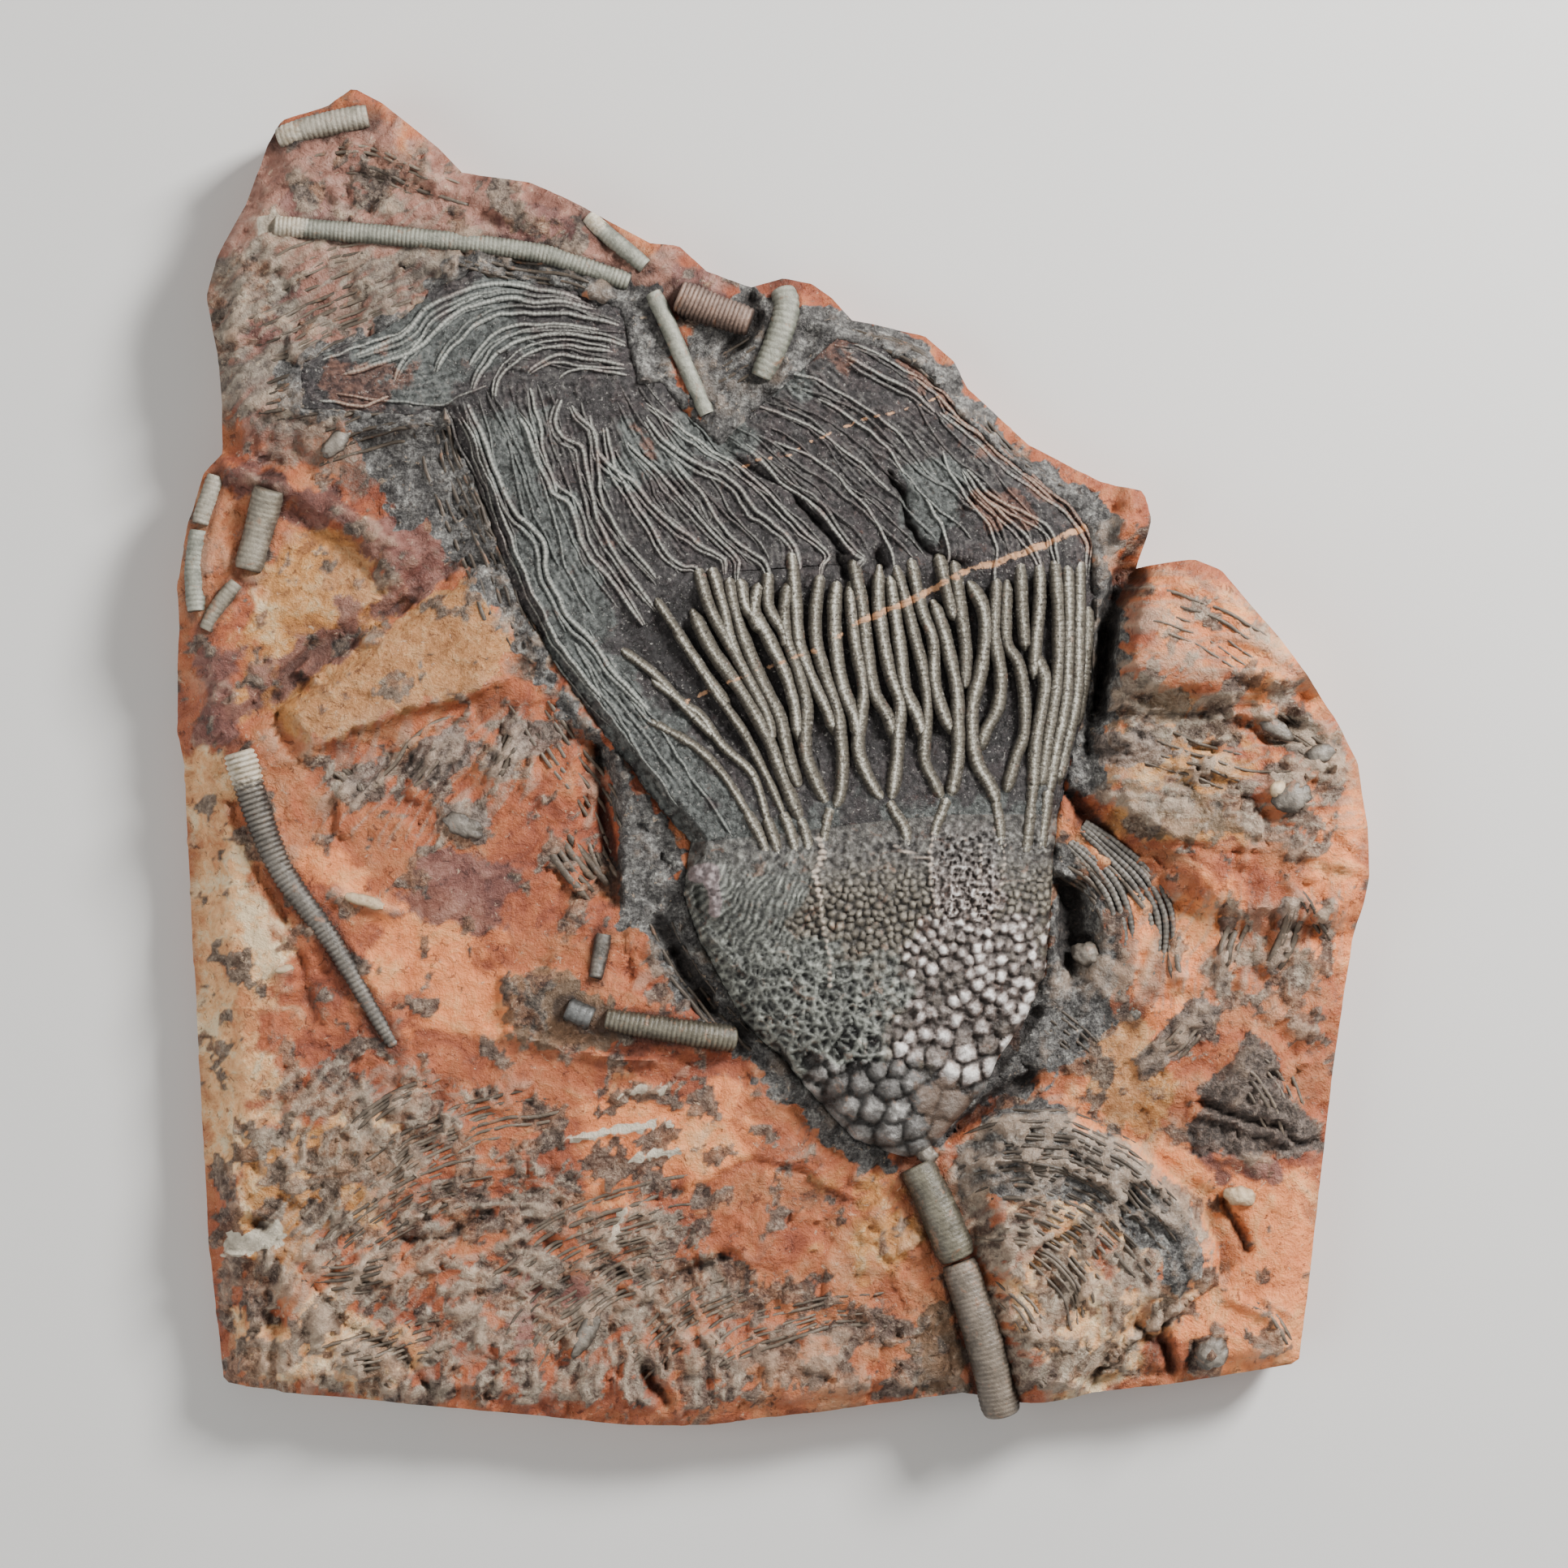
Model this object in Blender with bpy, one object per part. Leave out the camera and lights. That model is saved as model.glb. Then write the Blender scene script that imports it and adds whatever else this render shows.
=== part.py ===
"""Crinoid fossil: a broken slab of red limestone with a crinoid's crown, its stem and loose stem columns.

Lengths are in millimetres until a mesh is made. The slab lies on its flat back: X runs to the right
across its face, Y runs up it, towards the crown's feathery tips, and Z comes out of it. The origin is
at the middle of the slab's back.
"""

import math

import bmesh
import bpy
from mathutils import Vector, noise
from mathutils.geometry import delaunay_2d_cdt

METRES = 0.001

# The slab of matrix.
FACE_HEIGHT = 13.0  # the usual height of the face above the back
EDGE_STEP = 6.5  # between points along the slab's broken edge
FACE_STEP = 8.0  # between points over the slab's face
EDGE_ROUNDING = 2.4  # how far the face drops at its edge
EDGE_ROUNDING_WIDTH = 5.0
BACK_INSET = 2.2  # how far the back's edge lies inside the slab's widest outline
WIDEST_SHARE = 0.48  # of the face's height: where the broken edge reaches furthest out
FACE_INSET = 0.7

# The fossil and the beds that it lies in.
GAP = 0.3
BED_HEIGHT = 8.5  # the floor of the crown's bed
CROWN_RISE = 2.2  # of the feathery mat above the slab's face
ARMS_RISE = 3.4  # more, where the arms leave the calyx
CALYX_RISE = 8.6  # of the calyx's swollen middle above the slab's face
CALYX_SHOULDER = 21.0  # from the calyx's edge to its full height
PLATE_PITCH = 5.8  # between the middles of the calyx plates
PLATE_RISE = 1.1
COLUMN_SIDES = 8
RING_NECK = 0.9  # a column's radius between its rings, as a share of the rings' own
BED_CLEARANCE = 0.45  # between a column and its bed, which has fewer facets
BED_STRAY = 0.14  # how far the bed's route may leave the column's
COLUMN_SUNK = 0.25  # a column's middle lies this share of its radius above the face

SLAB_OUTLINE = [
    (-97, -111), (-99, -93), (-100, -73), (-101, -56), (-102, -38), (-103, -19), (-103.6, -2),
    (-105, 5), (-105, 14), (-104, 23), (-104.4, 30), (-102.6, 40), (-99.8, 50), (-96.5, 53.5),
    (-96.2, 62), (-97, 71), (-99, 81), (-97, 88), (-92, 97), (-88.4, 107), (-85.6, 112),
    (-77.7, 114.7), (-73.2, 117.7), (-68, 115), (-58, 107), (-54, 102.8), (-42, 101), (-33, 97),
    (-21, 90.6), (-16, 90.2), (-11, 85.6), (-3.2, 82.8), (2.5, 84.5), (7.5, 83.5), (11, 81),
    (14.6, 77), (27.3, 74.3), (32.3, 70), (35, 65), (45.8, 55), (58, 48.7), (65.7, 46.6),
    (67, 41.6), (65, 33.5), (74, 34.5), (78.5, 32.4), (88.4, 21), (99, 7), (103, -1),
    (104.7, -12), (105, -21), (103, -31), (99.8, -52), (97, -76), (95.5, -89), (93.4, -106.8),
    (71, -110.3), (44, -113.5), (34, -112), (15, -114.6), (0, -116.3), (-11, -117.7),
    (-25, -117.7), (-56, -114.6), (-85, -112),
]

# Raised and sunken parts of the face: height, width of the slope inside the outline, outline.
FACE_FORMS = {
    "knoll_foot": (4.0, 7.0, [(67, 35), (61, 29), (58.5, 20), (58, 12), (55, 5), (54, -1), (56, -8),
                              (62, -15), (70, -25), (84, -33), (112, -32), (112, 10), (84, 42)]),
    "knoll_top": (5.0, 5.0, [(68, 38), (61, 29), (59, 20), (60, 12), (68, 9), (80, 8), (92, 10),
                             (112, 4), (112, 20), (84, 44)]),
    "knoll_bump": (1.8, 3.5, [(85, -7), (87, -11), (91, -13), (95, -11), (97, -7), (95, -3),
                              (91, -1), (87, -3)]),
    "knoll_pit": (-3.0, 2.5, [(82, 6), (92, 9), (98, 4), (100, -1), (92, 1), (86, 1)]),
    "notch": (-4.0, 2.5, [(67, 37), (60, 36), (57, 25), (56, 12), (54, 4), (56, -2), (59, 8),
                          (61, 18), (62, 26), (67, 32)]),
    "orange_knob": (3.5, 3.0, [(59, 37), (61, 49), (70, 50), (70, 36)]),
    "lower_lobe": (4.0, 6.0, [(33, -71), (38, -60), (48, -57), (60, -64), (70, -71), (77, -79),
                              (81, -88), (79, -94), (67, -100), (59, -107), (56, -122),
                              (44, -122)]),
    "calyx_right_hollow": (-4.0, 4.0, [(48, -19), (56, -21), (60, -32), (57, -40), (51, -43)]),
    "left_hollow": (-3.5, 3.0, [(-34, 6), (-27, 3), (-25, -12), (-26, -27), (-33, -26),
                                (-35, -12)]),
    "tan_facet": (2.8, 4.0, [(-88, 8), (-66, 24), (-50, 36), (-44, 22), (-48, 10), (-64, 5),
                             (-80, -2)]),
    "maroon_band": (2.4, 4.0, [(-98, 55), (-83, 51), (-70, 45), (-58, 36), (-66, 27), (-74, 36),
                               (-86, 44), (-98, 48)]),
    "upper_left_field": (1.6, 5.0, [(-110, 54), (-60, 53), (-50, 66), (-46, 90), (-20, 100),
                                    (-75, 125), (-110, 100)]),
    "left_margin": (-3.6, 8.0, [(-115, -125), (-90, -125), (-91, -60), (-94, -5), (-97, 20),
                                (-115, 22)]),
    "olive_facet": (1.8, 2.5, [(-48, -37), (-30, -36), (-20, -41), (-5, -46), (-5, -53), (-22, -55),
                               (-36, -53), (-47, -50)]),
    "lower_left_step": (-2.5, 3.0, [(-115, -125), (-115, -88), (-90, -87), (-84, -93),
                                    (-86, -125)]),
    "grey_patch": (1.2, 3.0, [(84, -46), (92, -50), (94, -60), (97, -70), (74, -72), (72, -62),
                              (80, -54)]),
    "pale_pebble": (2.0, 2.0, [(79.5, -77), (82, -80), (85, -77), (82, -74)]),
    "lower_pebble": (2.2, 2.0, [(74.5, -105), (77.5, -108), (80.5, -105), (77.5, -102)]),
}

# The crown: edges between its branches, each from the calyx out towards the tips.
ARM_EDGES = [
    [(-14, -15), (-20, -8), (-26, 0), (-32, 8), (-38, 17)],
    [(-4, -14), (-9, -5), (-15, 3), (-21, 10), (-27, 17), (-31, 23)],
    [(5, -13), (1, -3), (-4, 7), (-9, 16), (-12, 25), (-14, 32)],
    [(12, -12), (8.5, -1), (7, 6), (5, 13), (4.2, 20), (4, 27), (4, 33)],
    [(21, -11), (18.5, -1), (17, 7), (17.3, 12), (16, 20), (15.3, 27), (15, 34)],
    [(31, -10), (29.8, 0), (28.5, 8), (28, 14), (27, 20), (25.3, 27), (24, 34)],
    [(40.5, -10), (39.5, 0), (41.8, 8), (42, 14), (40.5, 21), (40.5, 28), (41, 34)],
    [(51, -10), (53.5, 2), (55.5, 8), (56.5, 14), (57, 22), (57, 28), (57, 34)],
]
ARMS = {  # name: how many arms lie side by side
    "arms_far_left": 4, "arms_left": 5, "arms_centre_left": 4, "arms_centre": 4,
    "arms_centre_right": 4, "arms_right": 4, "arms_far_right": 5,
}
PLUME_OUTER_LEFT = [(-38, 17), (-44, 27), (-48, 38), (-52, 49), (-57, 61)]
PLUME_INNER_LEFT = [(-31, 23), (-35, 31), (-38, 39), (-41, 49), (-44, 59), (-46, 66)]
PLUME_MIDDLE_LEFT = [(-14, 32), (-20, 41), (-25, 49), (-29, 57), (-32, 65)]
PLUME_MIDDLE_RIGHT = [(15, 34), (10, 40), (4, 45), (-2, 50), (-9, 55)]
PLUME_MIDDLE_TOP = [(-14, 60), (-19, 66)]
PLUME_OUTER_RIGHT = [(57, 34), (56, 40), (49, 46.5), (41, 53), (34, 59.5), (28, 67), (20, 71.5),
                     (12, 73.5)]
PLUME_TOP_LOWER = [(-46, 66), (-32, 65), (-22.8, 65.7)]
PLUME_TOP_UPPER = [(-46, 84), (-38, 83), (-32, 81), (-26, 78.5)]
SWIRL_UPPER = [(-46, 84), (-52, 85), (-58, 82.5), (-63, 78.5), (-68, 74.5), (-75, 72), (-82, 69)]
SWIRL_LOWER = [(-46, 66), (-51.5, 63.5), (-57, 61), (-64, 60), (-73, 60.5), (-82, 61)]
PLUMES = {  # name: first edge, second edge, strands side by side, points along each edge
    "plume_far_left": (PLUME_OUTER_LEFT, PLUME_INNER_LEFT, 3, 9),
    "plume_left": (PLUME_INNER_LEFT, PLUME_MIDDLE_LEFT, 4, 8),
    "plume_centre": (PLUME_MIDDLE_LEFT, PLUME_MIDDLE_RIGHT + PLUME_MIDDLE_TOP, 6, 9),
    "plume_right": (PLUME_MIDDLE_RIGHT, PLUME_OUTER_RIGHT, 8, 10),
    "plume_top": (PLUME_TOP_LOWER, PLUME_TOP_UPPER, 5, 5),
    "plume_swirl": (SWIRL_LOWER, SWIRL_UPPER, 4, 8),
}
ARM_ROWS = 7  # points along each arm
ARM_RIDGE = 1.7  # an arm's back above the furrow beside it
PLUME_RIDGE = 0.9
CALYX_SIDES = [
    (50, -16), (49.5, -25), (48.5, -38), (45, -46), (40, -53), (38, -58), (33, -63.5),
    (28.5, -68.5), (24.5, -70.3), (20, -69), (15, -67), (10, -62), (3, -54), (-4, -47),
    (-8, -40), (-12, -33), (-15, -24),
]

# Columns: route along the face, diameter at each end, length of one pair of rings.
COLUMNS = {
    "stem_upper": ([(25.9, -71.6), (29.5, -79), (32.9, -87.4)], (6.6, 7.2), 3.0),
    "stem_lower": ([(33.2, -88.6), (36, -97), (38.5, -105), (41, -115.3)], (6.5, 7.2), 3.0),
    "column_top_edge": ([(-86, 108.6), (-80, 110.4), (-70.5, 112.4)], (4.2, 4.5), 3.0),
    "column_long_upper": ([(-86.5, 93), (-65, 91.2), (-42, 88.7), (-34, 86.5), (-24.6, 83.4)],
                          (3.8, 3.4), 5.6),
    "column_diagonal_upper": ([(-32, 95), (-27.5, 91), (-22, 86.4)], (3.2, 3.2), 3.0),
    "column_diagonal_lower": ([(-20.4, 81.5), (-18, 76.5), (-15, 69.5), (-10.8, 60)],
                              (3.3, 3.0), 4.6),
    "column_edge_upper": ([(-97.2, 49.5), (-98.6, 45), (-99.9, 41)], (3.8, 3.8), 3.0),
    "column_edge_lower": ([(-100.2, 39.9), (-101, 33), (-100.6, 26)], (3.8, 3.6), 3.0),
    "column_broad_left": ([(-87.5, 47), (-89.5, 40), (-91.5, 32.6)], (5.8, 5.2), 3.0),
    "column_short_left": ([(-93.4, 30.6), (-97, 26), (-99, 22)], (3.2, 2.8), 3.0),
    "column_long_left": ([(-93, 1), (-90, -9), (-85.5, -20), (-77, -32), (-70, -44), (-66, -50.5)],
                         (6.0, 2.4), 5.2),
    "column_upright": ([(-29, -31), (-30.5, -39)], (3.0, 2.6), 3.0),
    "column_stub": ([(-35.4, -44), (-30.6, -46)], (4.2, 4.2), 3.0),
    "column_below_crown": ([(-28.6, -45.8), (-20, -47.3), (-6, -49.4)], (4.2, 5.0), 3.8),
    "column_thick_red": ([(-16, 81), (-9.5, 78.4), (-3.6, 76.4)], (6.2, 5.6), 2.6),
    "column_pale_green": ([(2.4, 82), (3, 78.5), (1, 72), (-1.4, 66.8)], (5.0, 4.4), 3.0),
    "fallen_arm_inner": ([(52.6, -15), (57, -19), (61, -25), (62.5, -33), (61, -45)],
                         (2.8, 2.4), 5.6),
    "fallen_arm_outer": ([(55, -12), (60, -16), (66, -22), (69, -29), (68, -38), (64, -46)],
                         (2.6, 2.2), 5.6),
}

COLOURS = {
    "rock": ((0.42, 0.17, 0.09), 0.85),
    "calyx": ((0.12, 0.115, 0.11), 0.45),
    "arms": ((0.1, 0.095, 0.09), 0.45),
    "plume": ((0.085, 0.085, 0.09), 0.55),
    "pale_column": ((0.36, 0.36, 0.3), 0.55),
    "dark_column": ((0.15, 0.15, 0.12), 0.5),
}
PALE_COLUMNS = {
    "column_top_edge", "column_long_upper", "column_diagonal_upper", "column_diagonal_lower",
    "column_edge_upper", "column_edge_lower", "column_pale_green",
}


def eased(share):
    """Zero to one with a soft start and end."""
    share = min(max(share, 0.0), 1.0)
    return share * share * (3 - 2 * share)


def closed_sides(outline):
    return zip(outline, outline[1:] + outline[:1])


def distance_to_side(x, y, start, end):
    along_x, along_y = end[0] - start[0], end[1] - start[1]
    share = ((x - start[0]) * along_x + (y - start[1]) * along_y) / (along_x**2 + along_y**2)
    share = min(max(share, 0.0), 1.0)
    return math.hypot(x - start[0] - share * along_x, y - start[1] - share * along_y)


def is_inside(x, y, outline):
    inside = False
    for (ax, ay), (bx, by) in closed_sides(outline):
        if (ay > y) != (by > y) and x < ax + (y - ay) * (bx - ax) / (by - ay):
            inside = not inside
    return inside


def depth_inside(x, y, outline):
    """How far a place lies inside an outline; less than zero outside it."""
    nearest = min(distance_to_side(x, y, a, b) for a, b in closed_sides(outline))
    return nearest if is_inside(x, y, outline) else -nearest


def smooth_route(route, count):
    """Points at even distances along a smooth curve through the route's own points."""
    ends = [2 * Vector(route[0]) - Vector(route[1])], [2 * Vector(route[-1]) - Vector(route[-2])]
    knots = ends[0] + [Vector(p) for p in route] + ends[1]
    dense = []
    for p0, p1, p2, p3 in zip(knots, knots[1:], knots[2:], knots[3:]):
        for i in range(24):
            t = i / 24
            dense.append(0.5 * (2 * p1 + (p2 - p0) * t + (2 * p0 - 5 * p1 + 4 * p2 - p3) * t**2
                                + (3 * p1 - p0 - 3 * p2 + p3) * t**3))
    dense.append(knots[-2])
    lengths = [0.0]
    for a, b in zip(dense, dense[1:]):
        lengths.append(lengths[-1] + (b - a).length)
    points, at = [], 0
    for i in range(count):
        wanted = lengths[-1] * i / (count - 1)
        while at < len(dense) - 2 and lengths[at + 1] < wanted:
            at += 1
        share = (wanted - lengths[at]) / max(lengths[at + 1] - lengths[at], 1e-9)
        points.append(dense[at].lerp(dense[at + 1], min(max(share, 0.0), 1.0)))
    return points


def moved_outwards(outline, distance):
    """The outline, which runs anticlockwise, with each corner moved out along its two sides' normals."""
    moved = []
    for i, point in enumerate(outline):
        before = (Vector(point) - Vector(outline[i - 1])).normalized()
        after = (Vector(outline[(i + 1) % len(outline)]) - Vector(point)).normalized()
        normals = Vector((before.y, -before.x)), Vector((after.y, -after.x))
        middle = (normals[0] + normals[1]).normalized()
        moved.append(Vector(point) + middle * distance / max(middle.dot(normals[0]), 0.5))
    return moved


def anticlockwise(outline):
    area = sum(a[0] * b[1] - b[0] * a[1] for a, b in closed_sides(outline))
    return outline if area > 0 else outline[::-1]


def broken_edge(outline, step):
    """The outline with points added along its longer sides, pushed a little in and out."""
    points = []
    for start, end in closed_sides(outline):
        start, end = Vector(start), Vector(end)
        pieces = max(round((end - start).length / step), 1)
        across = Vector((end.y - start.y, start.x - end.x)).normalized()
        for i in range(pieces):
            place = start.lerp(end, i / pieces)
            push = 0.0 if i == 0 else -0.8 * abs(noise.noise(place.to_3d() * 0.21))
            points.append(place + across * push)
    return points


def face_height(x, y):
    """The height of the slab's bare face."""
    height = FACE_HEIGHT
    height += 0.9 * noise.noise(Vector((x, y, 3.0)) * 0.035)
    height += 0.7 * noise.noise(Vector((x, y, 7.0)) * 0.11)
    for rise, slope, outline in FACE_FORMS.values():
        height += rise * eased(depth_inside(x, y, outline) / slope)
    near_edge = 1 - eased(depth_inside(x, y, SLAB_OUTLINE) / EDGE_ROUNDING_WIDTH)
    return height - EDGE_ROUNDING * near_edge


def crown_height(x, y):
    """The height of the crown's mat, highest where the arms leave the calyx."""
    from_calyx = ((x - 24) / 44) ** 2 + ((y + 12) / 38) ** 2
    return FACE_HEIGHT + CROWN_RISE + ARMS_RISE * math.exp(-from_calyx)


def calyx_height(x, y):
    """A swollen cup: it falls away at its sides and its foot, and meets the arms at its rim."""
    sides = [ARM_EDGES[-1][0]] + CALYX_SIDES + [ARM_EDGES[0][0]]
    from_side = min(distance_to_side(x, y, a, b) for a, b in zip(sides, sides[1:]))
    fullness = math.sqrt(1 - (1 - min(from_side / CALYX_SHOULDER, 1.0)) ** 2)
    rim_share = eased((y + 26) / 16)
    swollen = FACE_HEIGHT + 1.2 + (CALYX_RISE - 1.2) * fullness
    return swollen + (min(crown_height(x, y), swollen) - swollen) * rim_share


def add_object(name, points, faces, colour_name):
    """One closed piece, its faces turned out, with a material of its own."""
    mesh = bpy.data.meshes.new(name)
    mesh.from_pydata([Vector(p) * METRES for p in points], [], faces)
    shape = bmesh.new()
    shape.from_mesh(mesh)
    bmesh.ops.recalc_face_normals(shape, faces=shape.faces)
    shape.to_mesh(mesh)
    shape.free()
    piece = bpy.data.objects.new(name, mesh)
    bpy.context.collection.objects.link(piece)
    colour, roughness = COLOURS[colour_name]
    material = bpy.data.materials.new(name + "_stone")
    material.use_nodes = True
    surface = material.node_tree.nodes["Principled BSDF"]
    surface.inputs["Base Color"].default_value = (*colour, 1)
    surface.inputs["Roughness"].default_value = roughness
    surface.inputs["Metallic"].default_value = 0.0
    mesh.materials.append(material)
    return piece


def crown_bed_outline():
    """The way round the calyx and all the crown's branches together."""
    _, centre_right, _, centre_rows = PLUMES["plume_centre"]
    _, _, _, swirl_rows = PLUMES["plume_swirl"]
    outline = [Vector(p) for p in CALYX_SIDES]
    outline += smooth_route(ARM_EDGES[0], ARM_ROWS)
    outline += smooth_route(PLUME_OUTER_LEFT, PLUMES["plume_far_left"][3])[1:]
    swirl_lower = smooth_route(SWIRL_LOWER, swirl_rows)
    outline += [p for p in swirl_lower if p.x < PLUME_OUTER_LEFT[-1][0]]
    outline += smooth_route(SWIRL_UPPER, swirl_rows)[::-1]
    outline += smooth_route(PLUME_TOP_UPPER, PLUMES["plume_top"][3])[1:]
    outline.append(Vector(PLUME_TOP_LOWER[-1]))
    centre = smooth_route(centre_right, centre_rows)
    outline += [p for p in centre[::-1] if p.x < PLUME_MIDDLE_RIGHT[-1][0]]
    outline.append(Vector(PLUME_MIDDLE_RIGHT[-1]))
    outline += smooth_route(PLUME_OUTER_RIGHT, PLUMES["plume_right"][3])[::-1]
    outline += smooth_route(ARM_EDGES[-1], ARM_ROWS)[-2::-1]
    return anticlockwise(outline)


SLAB_EDGE = broken_edge(anticlockwise(SLAB_OUTLINE), EDGE_STEP)
CALYX_OUTLINE = [edge[0] for edge in ARM_EDGES] + CALYX_SIDES
CROWN_BED = crown_bed_outline()


def wall_faces(upper, lower):
    """Quads between two closed rings of vertex numbers."""
    count = len(upper)
    return [(upper[i], upper[(i + 1) % count], lower[(i + 1) % count], lower[i])
            for i in range(count)]


def triangulated(outline, inner_points):
    """Places and triangles that fill an outline through its inner points."""
    places = [Vector(p) for p in outline + inner_points]
    places, _, faces, _, _, _ = delaunay_2d_cdt(places, [], [list(range(len(outline)))], 1, 1e-5)
    return places, faces


def face_points():
    """Places over the slab's face in offset rows, left out where the crown's bed takes it away."""
    columns, rows = range(-17, 18), range(-21, 22)
    found = []
    for row in rows:
        for column in columns:
            x = (column + 0.5 * (row % 2)) * FACE_STEP
            y = row * FACE_STEP * math.sqrt(3) / 2
            x += 1.6 * noise.noise(Vector((x, y, 11.0)) * 0.31)
            y += 1.6 * noise.noise(Vector((x, y, 17.0)) * 0.31)
            if depth_inside(x, y, SLAB_EDGE) < 3.2:
                continue
            if depth_inside(x, y, CROWN_BED) < 2.0:
                found.append(Vector((x, y)))
    return found


def build_matrix():
    """The slab: its face, a broken edge that is widest part of the way up, and a flat back."""
    rim = moved_outwards(SLAB_EDGE, -FACE_INSET)
    places, face_triangles = triangulated(rim, face_points())
    points = [(p.x, p.y, face_height(p.x, p.y)) for p in places]
    rings = [list(range(len(rim)))]
    for inset, share in ((0.0, WIDEST_SHARE), (BACK_INSET, 0.0)):
        first = len(points)
        for i, place in enumerate(moved_outwards(SLAB_EDGE, -inset)):
            unevenness = 1 + 0.5 * noise.noise(place.to_3d() * 0.17)
            points.append((place.x, place.y, points[i][2] * share * unevenness))
        rings.append(list(range(first, len(points))))
    faces = [tuple(face) for face in face_triangles]
    faces += wall_faces(rings[0], rings[1]) + wall_faces(rings[1], rings[2])
    _, back_triangles = triangulated([Vector(points[i][:2]) for i in rings[2]], [])
    faces += [tuple(rings[2][i] for i in face) for face in back_triangles]
    return add_object("matrix", points, faces, "rock")


def fan_grid(first, second, strands, rows):
    """Rows of places from one edge to the other, two steps for each strand."""
    first, second = smooth_route(first, rows), smooth_route(second, rows)
    steps = 2 * strands
    return [[a.lerp(b, i / steps) for i in range(steps + 1)] for a, b in zip(first, second)]


def grid_outline(grid):
    """The places round a grid's edge, in one direction."""
    right = [row[-1] for row in grid]
    left = [row[0] for row in grid]
    return grid[0][:-1] + right[:-1] + grid[-1][:0:-1] + left[:0:-1]


def build_fan(name, first, second, strands, rows, ridge, colour_name):
    """Strands that lie side by side as ridges, over one thick bed."""
    grid = fan_grid(first, second, strands, rows)
    outline = grid_outline(grid)
    turned = anticlockwise(outline)
    inset = dict(zip(map(tuple, turned), moved_outwards(turned, -GAP / 2)))
    points, numbers = [], {}
    for r, row in enumerate(grid):
        for c, place in enumerate(row):
            height = crown_height(place.x, place.y) + ridge * (0.5 if c % 2 else -0.5)
            numbers[tuple(place)] = len(points)
            place = inset.get(tuple(place), place)
            points.append((place.x, place.y, height))
    width = len(grid[0])
    faces = []
    for r in range(len(grid) - 1):
        for c in range(width - 1):
            corner = r * width + c
            faces.append((corner, corner + 1, corner + width + 1, corner + width))
    upper = [numbers[tuple(place)] for place in outline]
    lower = list(range(len(points), len(points) + len(upper)))
    points += [(points[i][0], points[i][1], BED_HEIGHT + GAP) for i in upper]
    faces += wall_faces(upper, lower) + [tuple(lower)]
    return add_object(name, points, faces, colour_name)


def build_calyx():
    """The cup of plates, each plate a low boss."""
    outline = moved_outwards(broken_calyx_edge(), -GAP / 2)
    bosses = []
    pitch = PLATE_PITCH / math.sqrt(3)
    for row in range(-30, 31):
        for column in range(-20, 30):
            place = Vector(((column + 0.5 * (row % 2)) * pitch, row * pitch * math.sqrt(3) / 2))
            if depth_inside(place.x, place.y, CALYX_OUTLINE) > 1.9:
                is_middle = (column + (row % 2) * 2 - (row - row % 2)) % 3 == 0
                bosses.append((place, PLATE_RISE if is_middle else 0.0))
    places, triangles = triangulated(outline, [place for place, _ in bosses])
    points = []
    for i, place in enumerate(places):
        boss = bosses[i - len(outline)][1] if i >= len(outline) else 0.0
        points.append((place.x, place.y, calyx_height(place.x, place.y) + boss))
    upper = list(range(len(outline)))
    lower = list(range(len(points), len(points) + len(outline)))
    points += [(place.x, place.y, BED_HEIGHT + GAP) for place in outline]
    faces = [tuple(face) for face in triangles] + wall_faces(upper, lower) + [tuple(lower)]
    return add_object("calyx", points, faces, "calyx")


def broken_calyx_edge():
    """The calyx's outline with points added along its longer sides, anticlockwise."""
    points = []
    for start, end in closed_sides(anticlockwise(CALYX_OUTLINE)):
        pieces = max(round(math.dist(start, end) / PLATE_PITCH), 1)
        points += [Vector(start).lerp(Vector(end), i / pieces) for i in range(pieces)]
    return points


def tube(route, radii):
    """Rings of points about a route in space, with flat ends."""
    points, faces = [], []
    for i, place in enumerate(route):
        along = (route[min(i + 1, len(route) - 1)] - route[max(i - 1, 0)]).normalized()
        across = along.cross(Vector((0, 0, 1))).normalized()
        upwards = across.cross(along)
        for side in range(COLUMN_SIDES):
            turn = math.tau * (side + 0.5) / COLUMN_SIDES
            points.append(place + radii[i] * (math.cos(turn) * across + math.sin(turn) * upwards))
    for i in range(len(route) - 1):
        ring = list(range(i * COLUMN_SIDES, (i + 1) * COLUMN_SIDES))
        faces += wall_faces(ring, [n + COLUMN_SIDES for n in ring])
    last = (len(route) - 1) * COLUMN_SIDES
    faces += [tuple(range(COLUMN_SIDES)), tuple(range(last, last + COLUMN_SIDES))]
    return points, faces


def ground_height(x, y):
    """What a column lies on: the crown where it reaches the place, or the slab's face."""
    return crown_height(x, y) if is_inside(x, y, CROWN_BED) else face_height(x, y)


def spaced_route(route, diameters, count):
    """A column's middle line in space, and its radius at each point."""
    places = smooth_route(route, count)
    radii = [(diameters[0] + (diameters[1] - diameters[0]) * i / (count - 1)) / 2
             for i in range(count)]
    heights = [ground_height(p.x, p.y) + r * COLUMN_SUNK for p, r in zip(places, radii)]
    for _ in range(count):
        inner = [(a + 2 * b + c) / 4 for a, b, c in zip(heights, heights[1:], heights[2:])]
        heights = heights[:1] + inner + heights[-1:]
    return [Vector((p.x, p.y, z)) for p, z in zip(places, heights)], radii


def thinned(route, stray):
    """The numbers of the points that alone keep a route within a small distance of itself."""
    kept = [0]
    for i in range(2, len(route)):
        start = route[kept[-1]]
        along = (route[i] - start).normalized()
        passed = [p - start for p in route[kept[-1] + 1:i]]
        if max((p - along * p.dot(along)).length for p in passed) > stray:
            kept.append(i - 1)
    return kept + [len(route) - 1]


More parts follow.
